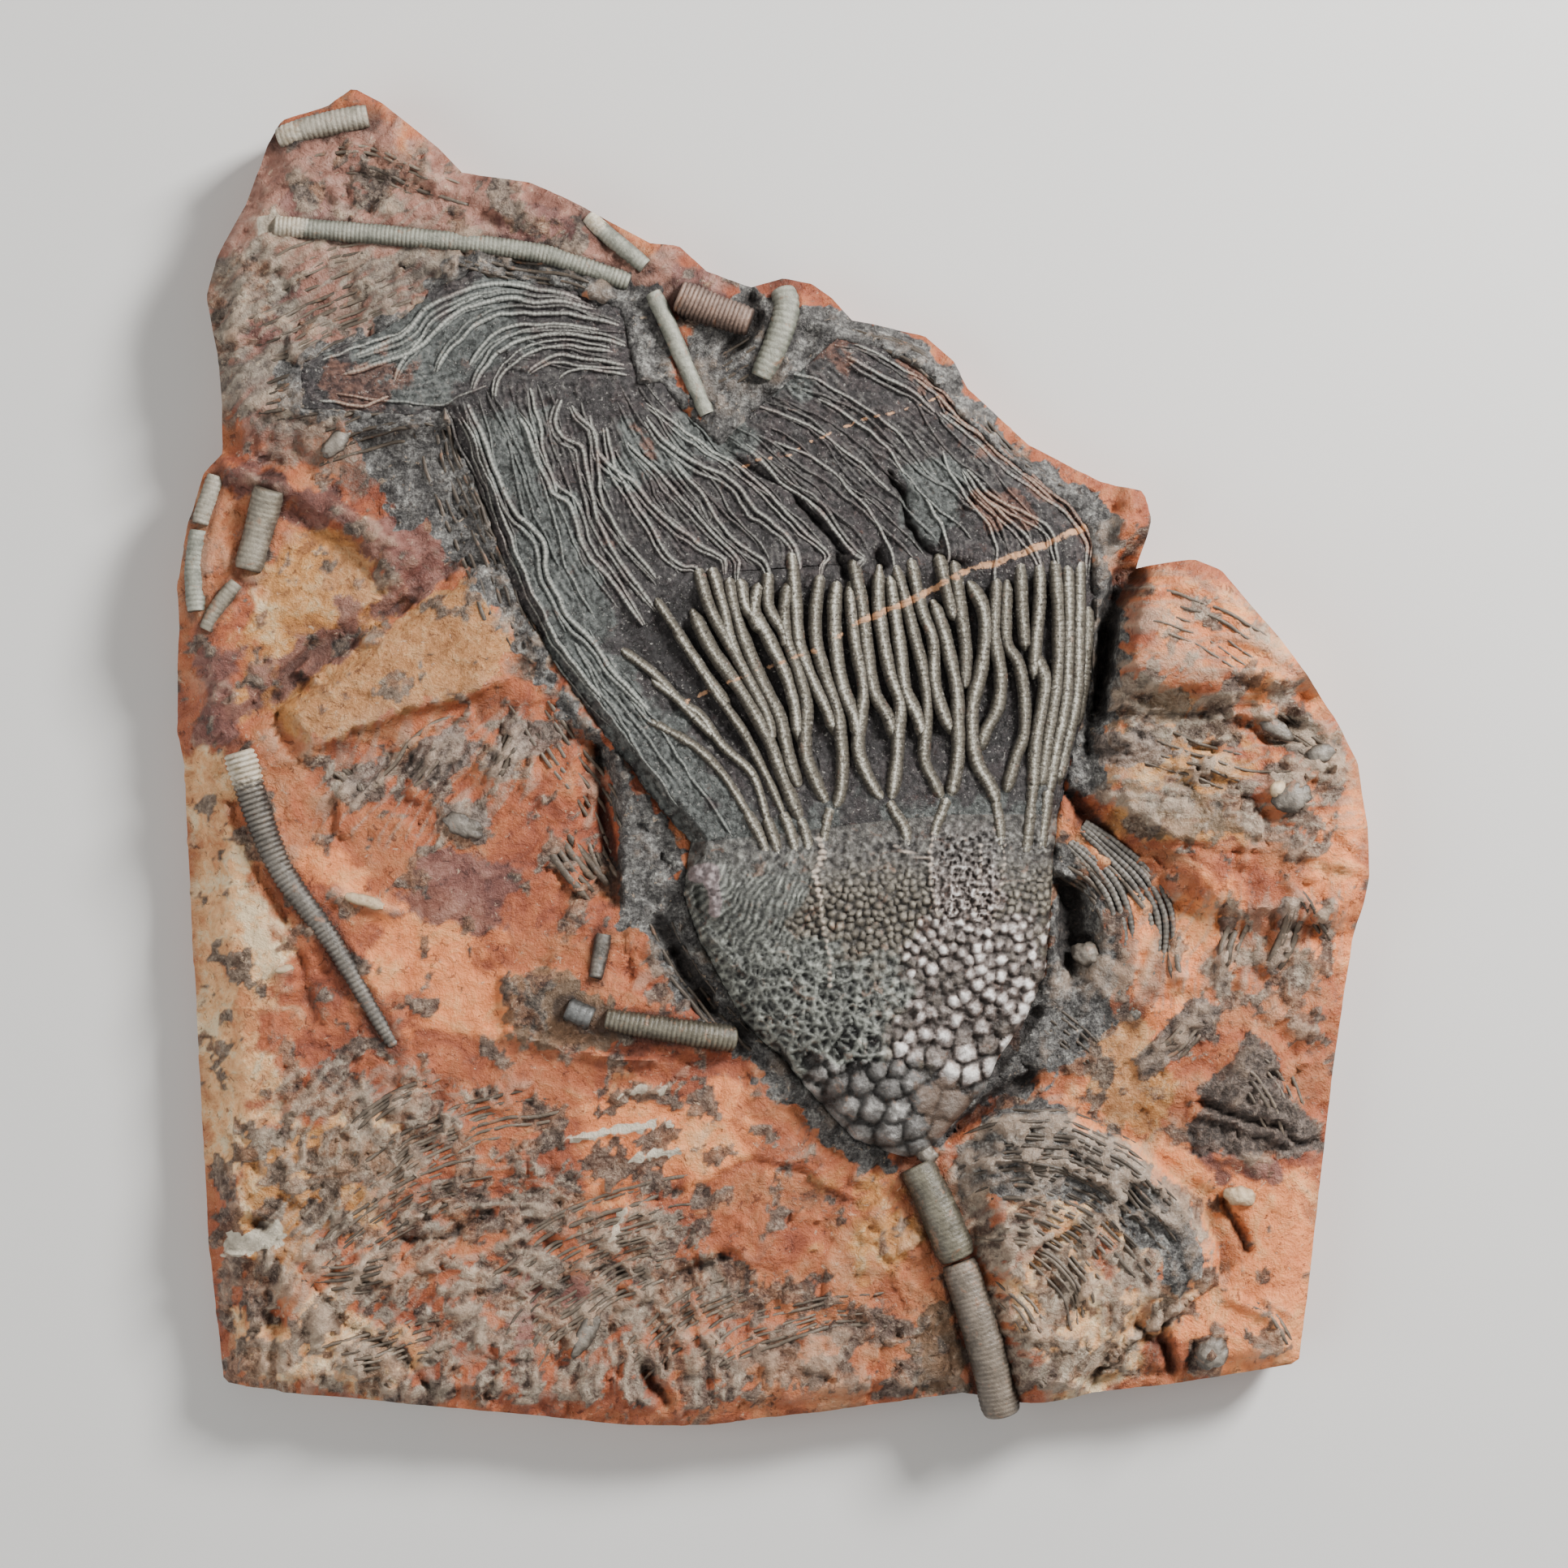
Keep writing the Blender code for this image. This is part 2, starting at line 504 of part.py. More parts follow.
def build_column(name, route, diameters, ring_pair):
    """A stem column of swollen rings, half sunk in what it lies on. Returns its bed's shape."""
    length = sum(math.dist(a, b) for a, b in zip(route, route[1:]))
    count = 2 * max(round(length / ring_pair), 2) + 1
    middle, radii = spaced_route(route, diameters, count)
    ringed = [r * (1.0 if i % 2 else RING_NECK) for i, r in enumerate(radii)]
    colour_name = "pale_column" if name in PALE_COLUMNS else "dark_column"
    add_object(name, *tube(middle, ringed), colour_name)
    kept = thinned(middle, BED_STRAY)
    bed_route = [middle[i].copy() for i in kept]
    bed_route[0] += (middle[0] - middle[1]).normalized() * 2 * GAP
    bed_route[-1] += (middle[-1] - middle[-2]).normalized() * 2 * GAP
    return tube(bed_route, [radii[i] + BED_CLEARANCE for i in kept])


def add_cutter(name, points, faces, holder):
    """A shape that only cuts a bed: it isn't a piece."""
    cutter = add_object(name, points, faces, "rock")
    cutter.hide_render = True
    cutter.display_type = "WIRE"
    bpy.context.collection.objects.unlink(cutter)
    holder.objects.link(cutter)


def add_crown_bed_cutter(holder):
    """A flat-floored bed a little wider than the crown that lies in it, open to the face."""
    wider = moved_outwards(CROWN_BED, GAP)
    count = len(wider)
    points = [(p.x, p.y, BED_HEIGHT) for p in wider] + [(p.x, p.y, 40.0) for p in wider]
    lower, upper = list(range(count)), list(range(count, 2 * count))
    faces = wall_faces(upper, lower) + [tuple(lower), tuple(upper)]
    add_cutter("crown_bed", points, faces, holder)


def cut_beds(piece, holder):
    cut = piece.modifiers.new("beds", "BOOLEAN")
    cut.operation = "DIFFERENCE"
    cut.operand_type = "COLLECTION"
    cut.collection = holder
    cut.solver = "EXACT"


def new_holder(name):
    holder = bpy.data.collections.new(name)
    bpy.context.scene.collection.children.link(holder)
    return holder


def clear_scene():
    for old in list(bpy.data.objects):
        bpy.data.objects.remove(old, do_unlink=True)


def main():
    clear_scene()
    beds = new_holder("beds")
    matrix = build_matrix()
    build_calyx()
    for (name, arms), left, right in zip(ARMS.items(), ARM_EDGES, ARM_EDGES[1:]):
        build_fan(name, left, right, arms, ARM_ROWS, ARM_RIDGE, "arms")
    for name, (first, second, strands, rows) in PLUMES.items():
        build_fan(name, first, second, strands, rows, PLUME_RIDGE, "plume")
    add_crown_bed_cutter(beds)
    for name, (route, diameters, ring_pair) in COLUMNS.items():
        points, faces = build_column(name, route, diameters, ring_pair)
        add_cutter("bed_" + name, points, faces, beds)
    cut_beds(matrix, beds)


main()
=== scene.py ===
import math

import bpy
import numpy as np
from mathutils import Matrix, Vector, kdtree, noise


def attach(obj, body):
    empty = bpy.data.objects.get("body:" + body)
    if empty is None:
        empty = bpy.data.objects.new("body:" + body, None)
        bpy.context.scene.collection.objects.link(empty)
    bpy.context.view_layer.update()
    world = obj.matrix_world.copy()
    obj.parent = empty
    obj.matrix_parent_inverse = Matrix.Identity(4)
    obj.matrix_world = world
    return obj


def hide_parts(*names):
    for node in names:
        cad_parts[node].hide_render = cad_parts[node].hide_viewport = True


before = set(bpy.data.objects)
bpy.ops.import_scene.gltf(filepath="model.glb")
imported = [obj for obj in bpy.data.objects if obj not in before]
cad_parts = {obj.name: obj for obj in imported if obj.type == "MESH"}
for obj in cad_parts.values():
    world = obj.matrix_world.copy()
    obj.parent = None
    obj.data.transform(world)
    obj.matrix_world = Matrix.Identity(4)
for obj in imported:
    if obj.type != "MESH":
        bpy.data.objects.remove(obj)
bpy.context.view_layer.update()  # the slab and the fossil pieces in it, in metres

MM = 0.001
BODY = "root"
SMOOTH_BELOW = 76  # degrees between two faces
PIECES_END = 8.8  # the pieces on the slab go down to this height, inside it

# --- Sizes shared with the solids -------------------------------------------------------------

FACE_HEIGHT = 13.0
EDGE_ROUNDING = 2.4
EDGE_ROUNDING_WIDTH = 5.0
CROWN_RISE = 2.2
ARMS_RISE = 3.4
CALYX_RISE = 8.6
CALYX_SHOULDER = 21.0
COLUMN_SUNK = 0.25

SLAB_OUTLINE = [
    (-97, -111), (-99, -93), (-100, -73), (-101, -56), (-102, -38), (-103, -19), (-103.6, -2),
    (-105, 5), (-105, 14), (-104, 23), (-104.4, 30), (-102.6, 40), (-99.8, 50), (-96.5, 53.5),
    (-96.2, 62), (-97, 71), (-99, 81), (-97, 88), (-92, 97), (-88.4, 107), (-85.6, 112),
    (-77.7, 114.7), (-73.2, 117.7), (-68, 115), (-58, 107), (-54, 102.8), (-42, 101), (-33, 97),
    (-21, 90.6), (-16, 90.2), (-11, 85.6), (-3.2, 82.8), (2.5, 84.5), (7.5, 83.5), (11, 81),
    (14.6, 77), (27.3, 74.3), (32.3, 70), (35, 65), (45.8, 55), (58, 48.7), (65.7, 46.6),
    (67, 41.6), (65, 33.5), (74, 34.5), (78.5, 32.4), (88.4, 21), (99, 7), (103, -1),
    (104.7, -12), (105, -21), (103, -31), (99.8, -52), (97, -76), (95.5, -89), (93.4, -106.8),
    (71, -110.3), (44, -113.5), (34, -112), (15, -114.6), (0, -116.3), (-11, -117.7),
    (-25, -117.7), (-56, -114.6), (-85, -112),
]

# Raised and sunken parts of the face: height, width of the slope inside the outline, outline.
FACE_FORMS = {
    "knoll_foot": (4.0, 7.0, [(67, 35), (61, 29), (58.5, 20), (58, 12), (55, 5), (54, -1), (56, -8),
        (62, -15), (70, -25), (84, -33), (112, -32), (112, 10), (84, 42)]),
    "knoll_top": (5.0, 5.0, [(68, 38), (61, 29), (59, 20), (60, 12), (68, 9), (80, 8), (92, 10),
        (112, 4), (112, 20), (84, 44)]),
    "knoll_bump": (1.8, 3.5, [(85, -7), (87, -11), (91, -13), (95, -11), (97, -7), (95, -3),
        (91, -1), (87, -3)]),
    "knoll_pit": (-3.0, 2.5, [(82, 6), (92, 9), (98, 4), (100, -1), (92, 1), (86, 1)]),
    "notch": (-4.0, 2.5, [(67, 37), (60, 36), (57, 25), (56, 12), (54, 4), (56, -2), (59, 8),
        (61, 18), (62, 26), (67, 32)]),
    "orange_knob": (3.5, 3.0, [(59, 37), (61, 49), (70, 50), (70, 36)]),
    "lower_lobe": (4.0, 6.0, [(33, -71), (38, -60), (48, -57), (60, -64), (70, -71), (77, -79),
        (81, -88), (79, -94), (67, -100), (59, -107), (56, -122), (44, -122)]),
    "calyx_right_hollow": (-4.0, 4.0, [(48, -19), (56, -21), (60, -32), (57, -40), (51, -43)]),
    "left_hollow": (-3.5, 3.0, [(-34, 6), (-27, 3), (-25, -12), (-26, -27), (-33, -26),
        (-35, -12)]),
    "tan_facet": (2.8, 4.0, [(-88, 8), (-66, 24), (-50, 36), (-44, 22), (-48, 10), (-64, 5),
        (-80, -2)]),
    "maroon_band": (2.4, 4.0, [(-98, 55), (-83, 51), (-70, 45), (-58, 36), (-66, 27), (-74, 36),
        (-86, 44), (-98, 48)]),
    "upper_left_field": (1.6, 5.0, [(-110, 54), (-60, 53), (-50, 66), (-46, 90), (-20, 100),
        (-75, 125), (-110, 100)]),
    "left_margin": (-3.6, 8.0, [(-115, -125), (-90, -125), (-91, -60), (-94, -5), (-97, 20),
        (-115, 22)]),
    "olive_facet": (1.8, 2.5, [(-48, -37), (-30, -36), (-20, -41), (-5, -46), (-5, -53), (-22, -55),
        (-36, -53), (-47, -50)]),
    "lower_left_step": (-2.5, 3.0, [(-115, -125), (-115, -88), (-90, -87), (-84, -93),
        (-86, -125)]),
    "grey_patch": (1.2, 3.0, [(84, -46), (92, -50), (94, -60), (97, -70), (74, -72), (72, -62),
        (80, -54)]),
    "pale_pebble": (2.0, 2.0, [(79.5, -77), (82, -80), (85, -77), (82, -74)]),
    "lower_pebble": (2.2, 2.0, [(74.5, -105), (77.5, -108), (80.5, -105), (77.5, -102)]),
}

ARM_EDGES = [
    [(-14, -15), (-20, -8), (-26, 0), (-32, 8), (-38, 17)],
    [(-4, -14), (-9, -5), (-15, 3), (-21, 10), (-27, 17), (-31, 23)],
    [(5, -13), (1, -3), (-4, 7), (-9, 16), (-12, 25), (-14, 32)],
    [(12, -12), (8.5, -1), (7, 6), (5, 13), (4.2, 20), (4, 27), (4, 33)],
    [(21, -11), (18.5, -1), (17, 7), (17.3, 12), (16, 20), (15.3, 27), (15, 34)],
    [(31, -10), (29.8, 0), (28.5, 8), (28, 14), (27, 20), (25.3, 27), (24, 34)],
    [(40.5, -10), (39.5, 0), (41.8, 8), (42, 14), (40.5, 21), (40.5, 28), (41, 34)],
    [(51, -10), (53.5, 2), (55.5, 8), (56.5, 14), (57, 22), (57, 28), (57, 34)],
]
ARM_NAMES = [
    "arms_far_left",
    "arms_left",
    "arms_centre_left",
    "arms_centre",
    "arms_centre_right",
    "arms_right",
    "arms_far_right",
]
PLUME_OUTER_LEFT = [(-38, 17), (-44, 27), (-48, 38), (-52, 49), (-57, 61)]
PLUME_INNER_LEFT = [(-31, 23), (-35, 31), (-38, 39), (-41, 49), (-44, 59), (-46, 66)]
PLUME_MIDDLE_LEFT = [(-14, 32), (-20, 41), (-25, 49), (-29, 57), (-32, 65)]
PLUME_MIDDLE_RIGHT = [(15, 34), (10, 40), (4, 45), (-2, 50), (-9, 55)]
PLUME_MIDDLE_TOP = [(-14, 60), (-19, 66)]
PLUME_OUTER_RIGHT = [
    (57, 34), (56, 40), (49, 46.5), (41, 53), (34, 59.5), (28, 67), (20, 71.5), (12, 73.5),
]
PLUME_TOP_LOWER = [(-46, 66), (-32, 65), (-22.8, 65.7)]
PLUME_TOP_UPPER = [(-46, 84), (-38, 83), (-32, 81), (-26, 78.5)]
SWIRL_UPPER = [(-46, 84), (-52, 85), (-58, 82.5), (-63, 78.5), (-68, 74.5), (-75, 72), (-82, 69)]
SWIRL_LOWER = [(-46, 66), (-51.5, 63.5), (-57, 61), (-64, 60), (-73, 60.5), (-82, 61)]
FANS = {  # name: first edge, second edge, how many fine strands lie between the strong ones
    "plume_far_left": (PLUME_OUTER_LEFT, PLUME_INNER_LEFT, 6),
    "plume_left": (PLUME_INNER_LEFT, PLUME_MIDDLE_LEFT, 7),
    "plume_centre": (PLUME_MIDDLE_LEFT, PLUME_MIDDLE_RIGHT + PLUME_MIDDLE_TOP, 8),
    "plume_right": (PLUME_MIDDLE_RIGHT, PLUME_OUTER_RIGHT, 16),
    "plume_top": (PLUME_TOP_LOWER, PLUME_TOP_UPPER, 4),
    "plume_swirl": (SWIRL_LOWER, SWIRL_UPPER, 2),
}
for arm_name, arm_left, arm_right in zip(ARM_NAMES, ARM_EDGES, ARM_EDGES[1:]):
    FANS[arm_name] = (arm_left, arm_right, 0)
FANS["arms_far_left"] = (ARM_EDGES[0], ARM_EDGES[1], 6)
CALYX_SIDES = [
    (50, -16), (49.5, -25), (48.5, -38), (45, -46), (40, -53), (38, -58), (33, -63.5),
    (28.5, -68.5), (24.5, -70.3), (20, -69), (15, -67), (10, -62), (3, -54), (-4, -47),
    (-8, -40), (-12, -33), (-15, -24),
]
CALYX_RIM = [edge[0] for edge in ARM_EDGES]
CROWN_OUTLINE = (
    CALYX_SIDES + ARM_EDGES[0] + PLUME_OUTER_LEFT[1:] + SWIRL_LOWER[3:] + SWIRL_UPPER[::-1]
    + PLUME_TOP_UPPER[1:] + PLUME_TOP_LOWER[-1:] + PLUME_MIDDLE_TOP[::-1]
    + PLUME_MIDDLE_RIGHT[-1:] + PLUME_OUTER_RIGHT[::-1] + ARM_EDGES[-1][-2::-1]
)

# Columns: route, diameter at each end, length of a ring, how sharply the rings stand out, colour.
COLUMNS = {
    "stem_upper": ([(25.9, -71.6), (29.5, -79), (32.9, -87.4)], (6.6, 7.2), 0.8, 0.04, "olive"),
    "stem_lower": ([(33.2, -88.6), (36, -97), (38.5, -105), (41, -115.3)], (6.5, 7.2), 0.85, 0.05,
        "brown"),
    "column_top_edge": ([(-86, 108.6), (-80, 110.4), (-70.5, 112.4)], (4.2, 4.5), 0.9, 0.08,
        "cream"),
    "column_long_upper": ([(-86.5, 93), (-65, 91.2), (-42, 88.7), (-34, 86.5), (-24.6, 83.4)],
        (3.8, 3.4), 0.75, 0.1, "pale"),
    "column_diagonal_upper": ([(-32, 95), (-27.5, 91), (-22, 86.4)], (3.2, 3.2), 0.8, 0.04, "pale"),
    "column_diagonal_lower": ([(-20.4, 81.5), (-18, 76.5), (-15, 69.5), (-10.8, 60)],
        (3.3, 3.0), 0.9, 0.02, "pale"),
    "column_edge_upper": ([(-97.2, 49.5), (-98.6, 45), (-99.9, 41)], (3.8, 3.8), 0.9, 0.06,
        "cream"),
    "column_edge_lower": ([(-100.2, 39.9), (-101, 33), (-100.6, 26)], (3.8, 3.6), 0.9, 0.06,
        "pale"),
    "column_broad_left": ([(-87.5, 47), (-89.5, 40), (-91.5, 32.6)], (5.8, 5.2), 1.0, 0.05, "dun"),
    "column_short_left": ([(-93.4, 30.6), (-97, 26), (-99, 22)], (3.2, 2.8), 0.9, 0.05, "dun"),
    "column_long_left": ([(-93, 1), (-90, -9), (-85.5, -20), (-77, -32), (-70, -44), (-66, -50.5)],
        (6.0, 2.4), 0.95, 0.2, "dark"),
    "column_upright": ([(-29, -31), (-30.5, -39)], (3.0, 2.6), 0.9, 0.05, "dark"),
    "column_stub": ([(-35.4, -44), (-30.6, -46)], (4.2, 4.2), 1.2, 0.05, "blue"),
    "column_below_crown": ([(-28.6, -45.8), (-20, -47.3), (-6, -49.4)], (4.2, 5.0), 0.85, 0.13,
        "olive"),
    "column_thick_red": ([(-16, 81), (-9.5, 78.4), (-3.6, 76.4)], (6.2, 5.6), 0.8, 0.14, "red"),
    "column_pale_green": ([(2.4, 82), (3, 78.5), (1, 72), (-1.4, 66.8)], (5.0, 4.4), 1.1, 0.06,
        "pale"),
    "fallen_arm_inner": ([(52.6, -15), (57, -19), (61, -25), (62.5, -33), (61, -45)],
        (2.8, 2.4), 1.3, 0.1, "dark"),
    "fallen_arm_outer": ([(55, -12), (60, -16), (66, -22), (69, -29), (68, -38), (64, -46)],
        (2.6, 2.2), 1.3, 0.1, "dark"),
}

# --- Measures and noise -----------------------------------------------------------------------


def eased(share):
    share = np.clip(share, 0.0, 1.0)
    return share * share * (3 - 2 * share)


def distance_to_line(x, y, line):
    nearest = np.full(np.shape(x), 1e6)
    for (ax, ay), (bx, by) in zip(line, line[1:]):
        along_x, along_y = bx - ax, by - ay
        share = ((x - ax) * along_x + (y - ay) * along_y) / (along_x**2 + along_y**2 + 1e-12)
        share = np.clip(share, 0, 1)
        nearest = np.minimum(nearest, np.hypot(x - ax - share * along_x, y - ay - share * along_y))
    return nearest


def depth_in(x, y, outline):
    """How far places lie inside an outline; less than zero outside it."""
    closed = list(outline) + [outline[0]]
    inside = np.zeros(np.shape(x), bool)
    for (ax, ay), (bx, by) in zip(closed, closed[1:]):
        if ay != by:
            inside ^= ((ay > y) != (by > y)) & (x < ax + (y - ay) * (bx - ax) / (by - ay))
    distance = distance_to_line(x, y, closed)
    return np.where(inside, distance, -distance)


def smooth_route(route, count):
    """Places at even distances along a smooth curve through the route's points."""
    route = np.array(route, float)
    knots = np.vstack([2 * route[:1] - route[1:2], route, 2 * route[-1:] - route[-2:-1]])
    t = np.linspace(0, 1, 20, endpoint=False)[:, None]
    dense = [0.5 * (2 * b + (c - a) * t + (2 * a - 5 * b + 4 * c - d) * t**2
                    + (3 * b - a - 3 * c + d) * t**3)
             for a, b, c, d in zip(knots, knots[1:], knots[2:], knots[3:])]
    dense = np.vstack(dense + [route[-1:]])
    steps = np.linalg.norm(np.diff(dense, axis=0), axis=1)
    along = np.concatenate([[0], np.cumsum(steps)])
    even = np.linspace(0, along[-1], count)
    return np.column_stack([np.interp(even, along, column) for column in dense.T])


def route_length(route):
    return float(np.linalg.norm(np.diff(np.array(route, float), axis=0), axis=1).sum())


def lumps(x, y, size, seed=0):
    """Smooth random relief between about -1 and 1, its lumps `size` millimetres across."""
    turns = np.random.default_rng(seed).uniform(0, math.tau, (256, 256))
    u, v = np.asarray(x) / size + 64.3, np.asarray(y) / size + 64.7
    i, j = np.floor(u).astype(int), np.floor(v).astype(int)
    f, g = u - i, v - j
    soft_f, soft_g = f**3 * (f * (f * 6 - 15) + 10), g**3 * (g * (g * 6 - 15) + 10)
    total = 0
    for di, dj in ((0, 0), (0, 1), (1, 0), (1, 1)):
        turn = turns[(i + di) % 256, (j + dj) % 256]
        slope = np.cos(turn) * (f - di) + np.sin(turn) * (g - dj)
        total = total + slope * (soft_f if di else 1 - soft_f) * (soft_g if dj else 1 - soft_g)
    return 1.5 * total


def layers(x, y, size, count, seed=0, fade=0.5):
    """Relief with finer and finer lumps on it, each layer turned against the last."""
    total, strength, turn = 0.0, 1.0, 0.6
    for n in range(count):
        total = total + strength * lumps(x, y, size, seed + n)
        x, y = x * math.cos(turn) - y * math.sin(turn), x * math.sin(turn) + y * math.cos(turn)
        size, strength = size * 0.5, strength * fade
    return total


def turned(x, y, degrees):
    """Coordinates along and across a direction."""
    c, s = math.cos(math.radians(degrees)), math.sin(math.radians(degrees))
    return x * c + y * s, -x * s + y * c


def chips(x, y, size, tilt, seed):
    """Broken facets: each place takes the slope of the nearest of many scattered chips."""
    rng = np.random.default_rng(seed)
    low, high = np.array([x.min(), y.min()]) - size, np.array([x.max(), y.max()]) + size
    count = int(np.prod((high - low) / size))
    centres = rng.uniform(low, high, (count, 2))
    slopes = rng.normal(0, tilt, (count, 2))
    lifts = rng.normal(0, tilt * size * 0.25, count)
    tree = kdtree.KDTree(count)
    for n, centre in enumerate(centres):
        tree.insert((centre[0], centre[1], 0), n)
    tree.balance()
    warp_x = x + size * 0.22 * lumps(x, y, size * 0.6, seed + 1)
    warp_y = y + size * 0.22 * lumps(x, y, size * 0.6, seed + 2)
    near = np.array([tree.find((a, b, 0))[1] for a, b in zip(warp_x, warp_y)])
    away = np.column_stack([warp_x, warp_y]) - centres[near]
    return np.clip((away * slopes[near]).sum(axis=1) + lifts[near], -size * tilt, size * tilt)


# --- Heights ----------------------------------------------------------------------------------


def plain_face(x, y):
    """The slab's face as its solid has it."""
    height = np.full(np.shape(x), FACE_HEIGHT)
    height += 0.9 * np.array([noise.noise(Vector((a, b, 3.0)) * 0.035) for a, b in zip(x, y)])
    height += 0.7 * np.array([noise.noise(Vector((a, b, 7.0)) * 0.11) for a, b in zip(x, y)])
    for rise, slope, outline in FACE_FORMS.values():
        height += rise * eased(depth_in(x, y, outline) / slope)
    near_edge = 1 - eased(depth_in(x, y, SLAB_OUTLINE) / EDGE_ROUNDING_WIDTH)
    return height - EDGE_ROUNDING * near_edge


def full_crown(x, y):
    from_calyx = ((x - 24) / 44) ** 2 + ((y + 12) / 38) ** 2
    return FACE_HEIGHT + CROWN_RISE + ARMS_RISE * np.exp(-from_calyx)


def mat_height(x, y):
    """The crown's mat, thinning to the slab's face at the crown's outer edge."""
    face = plain_face(x, y)
    inside = depth_in(x, y, CROWN_OUTLINE)
    return face + (full_crown(x, y) - face) * eased(inside / 3.5)


def calyx_height(x, y):
    sides = [CALYX_RIM[-1]] + CALYX_SIDES + [CALYX_RIM[0]]
    from_side = distance_to_line(x, y, sides)
    fullness = np.sqrt(1 - (1 - np.minimum(from_side / CALYX_SHOULDER, 1.0)) ** 2)
    swollen = FACE_HEIGHT + 1.2 + (CALYX_RISE - 1.2) * fullness
    return swollen + (np.minimum(full_crown(x, y), swollen) - swollen) * eased((y + 26) / 16)


# --- Mesh tools -------------------------------------------------------------------------------


def only(piece):
    bpy.ops.object.select_all(action="DESELECT")
    piece.select_set(True)
    bpy.context.view_layer.objects.active = piece


def places_of(piece):
    flat = np.empty(len(piece.data.vertices) * 3)
    piece.data.vertices.foreach_get("co", flat)
    return flat.reshape(-1, 3) / MM


def put_places(piece, places):
    piece.data.vertices.foreach_set("co", (places * MM).ravel())
    piece.data.update()


def edit(piece, *steps):
    """Runs edit-mode steps on a piece."""
    only(piece)
    bpy.ops.object.mode_set(mode="EDIT")
    bpy.ops.mesh.select_mode(type="VERT")
    for step in steps:
        step()
    bpy.ops.object.mode_set(mode="OBJECT")


def select_places(piece, chosen):
    """Selects the vertices that a list of true and false picks out."""
    edit(piece, lambda: bpy.ops.mesh.select_all(action="DESELECT"))
    piece.data.vertices.foreach_set("select", chosen)


def select_rim():
    bpy.ops.mesh.select_mode(type="EDGE")
    bpy.ops.mesh.select_all(action="DESELECT")
    bpy.ops.mesh.select_non_manifold(extend=False, use_wire=False, use_boundary=True,
                                     use_multi_face=False, use_non_contiguous=False,
                                     use_verts=False)


def rim_numbers(piece):
    """The numbers of the vertices along a sheet's open edge."""
    edit(piece, select_rim)
    chosen = np.empty(len(piece.data.vertices), bool)
    piece.data.vertices.foreach_get("select", chosen)
    return np.nonzero(chosen)[0]


def select_whole():
    bpy.ops.mesh.select_all(action="SELECT")


def turn_faces_out(piece):
    edit(piece, select_whole, lambda: bpy.ops.mesh.normals_make_consistent(inside=False))


def merge_close(piece, reach):
    edit(piece, select_whole, lambda: bpy.ops.mesh.remove_doubles(threshold=reach))


def close_ends(piece):
    edit(piece, select_whole, lambda: bpy.ops.mesh.fill_holes(sides=0))


def delete_places(piece, chosen):
    select_places(piece, chosen)
    edit(piece, lambda: bpy.ops.mesh.delete(type="VERT"))


def nearest_on(x, y, outline):
    """The nearest places on an outline."""
    closed = list(outline) + [outline[0]]
    best = np.full(len(x), 1e6)
    found = np.zeros((len(x), 2))
    for (ax, ay), (bx, by) in zip(closed, closed[1:]):
        along_x, along_y = bx - ax, by - ay
        share = ((x - ax) * along_x + (y - ay) * along_y) / (along_x**2 + along_y**2)
        share = np.clip(share, 0, 1)
        near_x, near_y = ax + share * along_x, ay + share * along_y
        distance = np.hypot(x - near_x, y - near_y)
        closer = distance < best
        best = np.where(closer, distance, best)
        found[closer] = np.column_stack([near_x, near_y])[closer]
    return found


def new_grid(name, across, along):
    bpy.ops.object.select_all(action="DESELECT")
    bpy.ops.mesh.primitive_grid_add(x_subdivisions=across, y_subdivisions=along, size=1)
    piece = bpy.context.object
    piece.name = piece.data.name = name
    return piece, places_of(piece)[:, :2] * MM + 0.5


def drop_pinched_corners(piece):
    """Removes the vertices where a sheet's open edge touches itself, and the scraps this leaves."""
    for _ in range(6):
        edges = np.empty(2 * len(piece.data.edges), int)
        piece.data.edges.foreach_get("vertices", edges)
        loops = np.empty(len(piece.data.loops), int)
        piece.data.loops.foreach_get("edge_index", loops)
        faces_at = np.bincount(loops, minlength=len(piece.data.edges))
        open_ends = edges.reshape(-1, 2)[faces_at < 2].ravel()
        at_corner = np.bincount(open_ends, minlength=len(piece.data.vertices))
        bad = at_corner > 2
        used = np.zeros(len(piece.data.vertices), bool)
        used[edges.reshape(-1, 2)[faces_at > 0].ravel()] = True
        bad |= ~used
        if not bad.any():
            return
        delete_places(piece, bad)


def trimmed_sheet(name, outline, spacing):
    """A flat sheet of small quads, cut to an outline and with its edge drawn onto it."""
    low, high = np.min(outline, axis=0), np.max(outline, axis=0)
    counts = np.ceil((high - low) / spacing).astype(int)
    piece, shares = new_grid(name, int(counts[0]), int(counts[1]))
    flat = low + shares * (high - low)
    put_places(piece, np.column_stack([flat, np.zeros(len(flat))]))
    delete_places(piece, depth_in(flat[:, 0], flat[:, 1], outline) < 0.35 * spacing)
    drop_pinched_corners(piece)
    rim = rim_numbers(piece)
    places = places_of(piece)
    places[rim, :2] = nearest_on(places[rim, 0], places[rim, 1], outline)
    put_places(piece, places)
    merge_close(piece, 0.15 * spacing * MM)
    drop_pinched_corners(piece)
    return piece


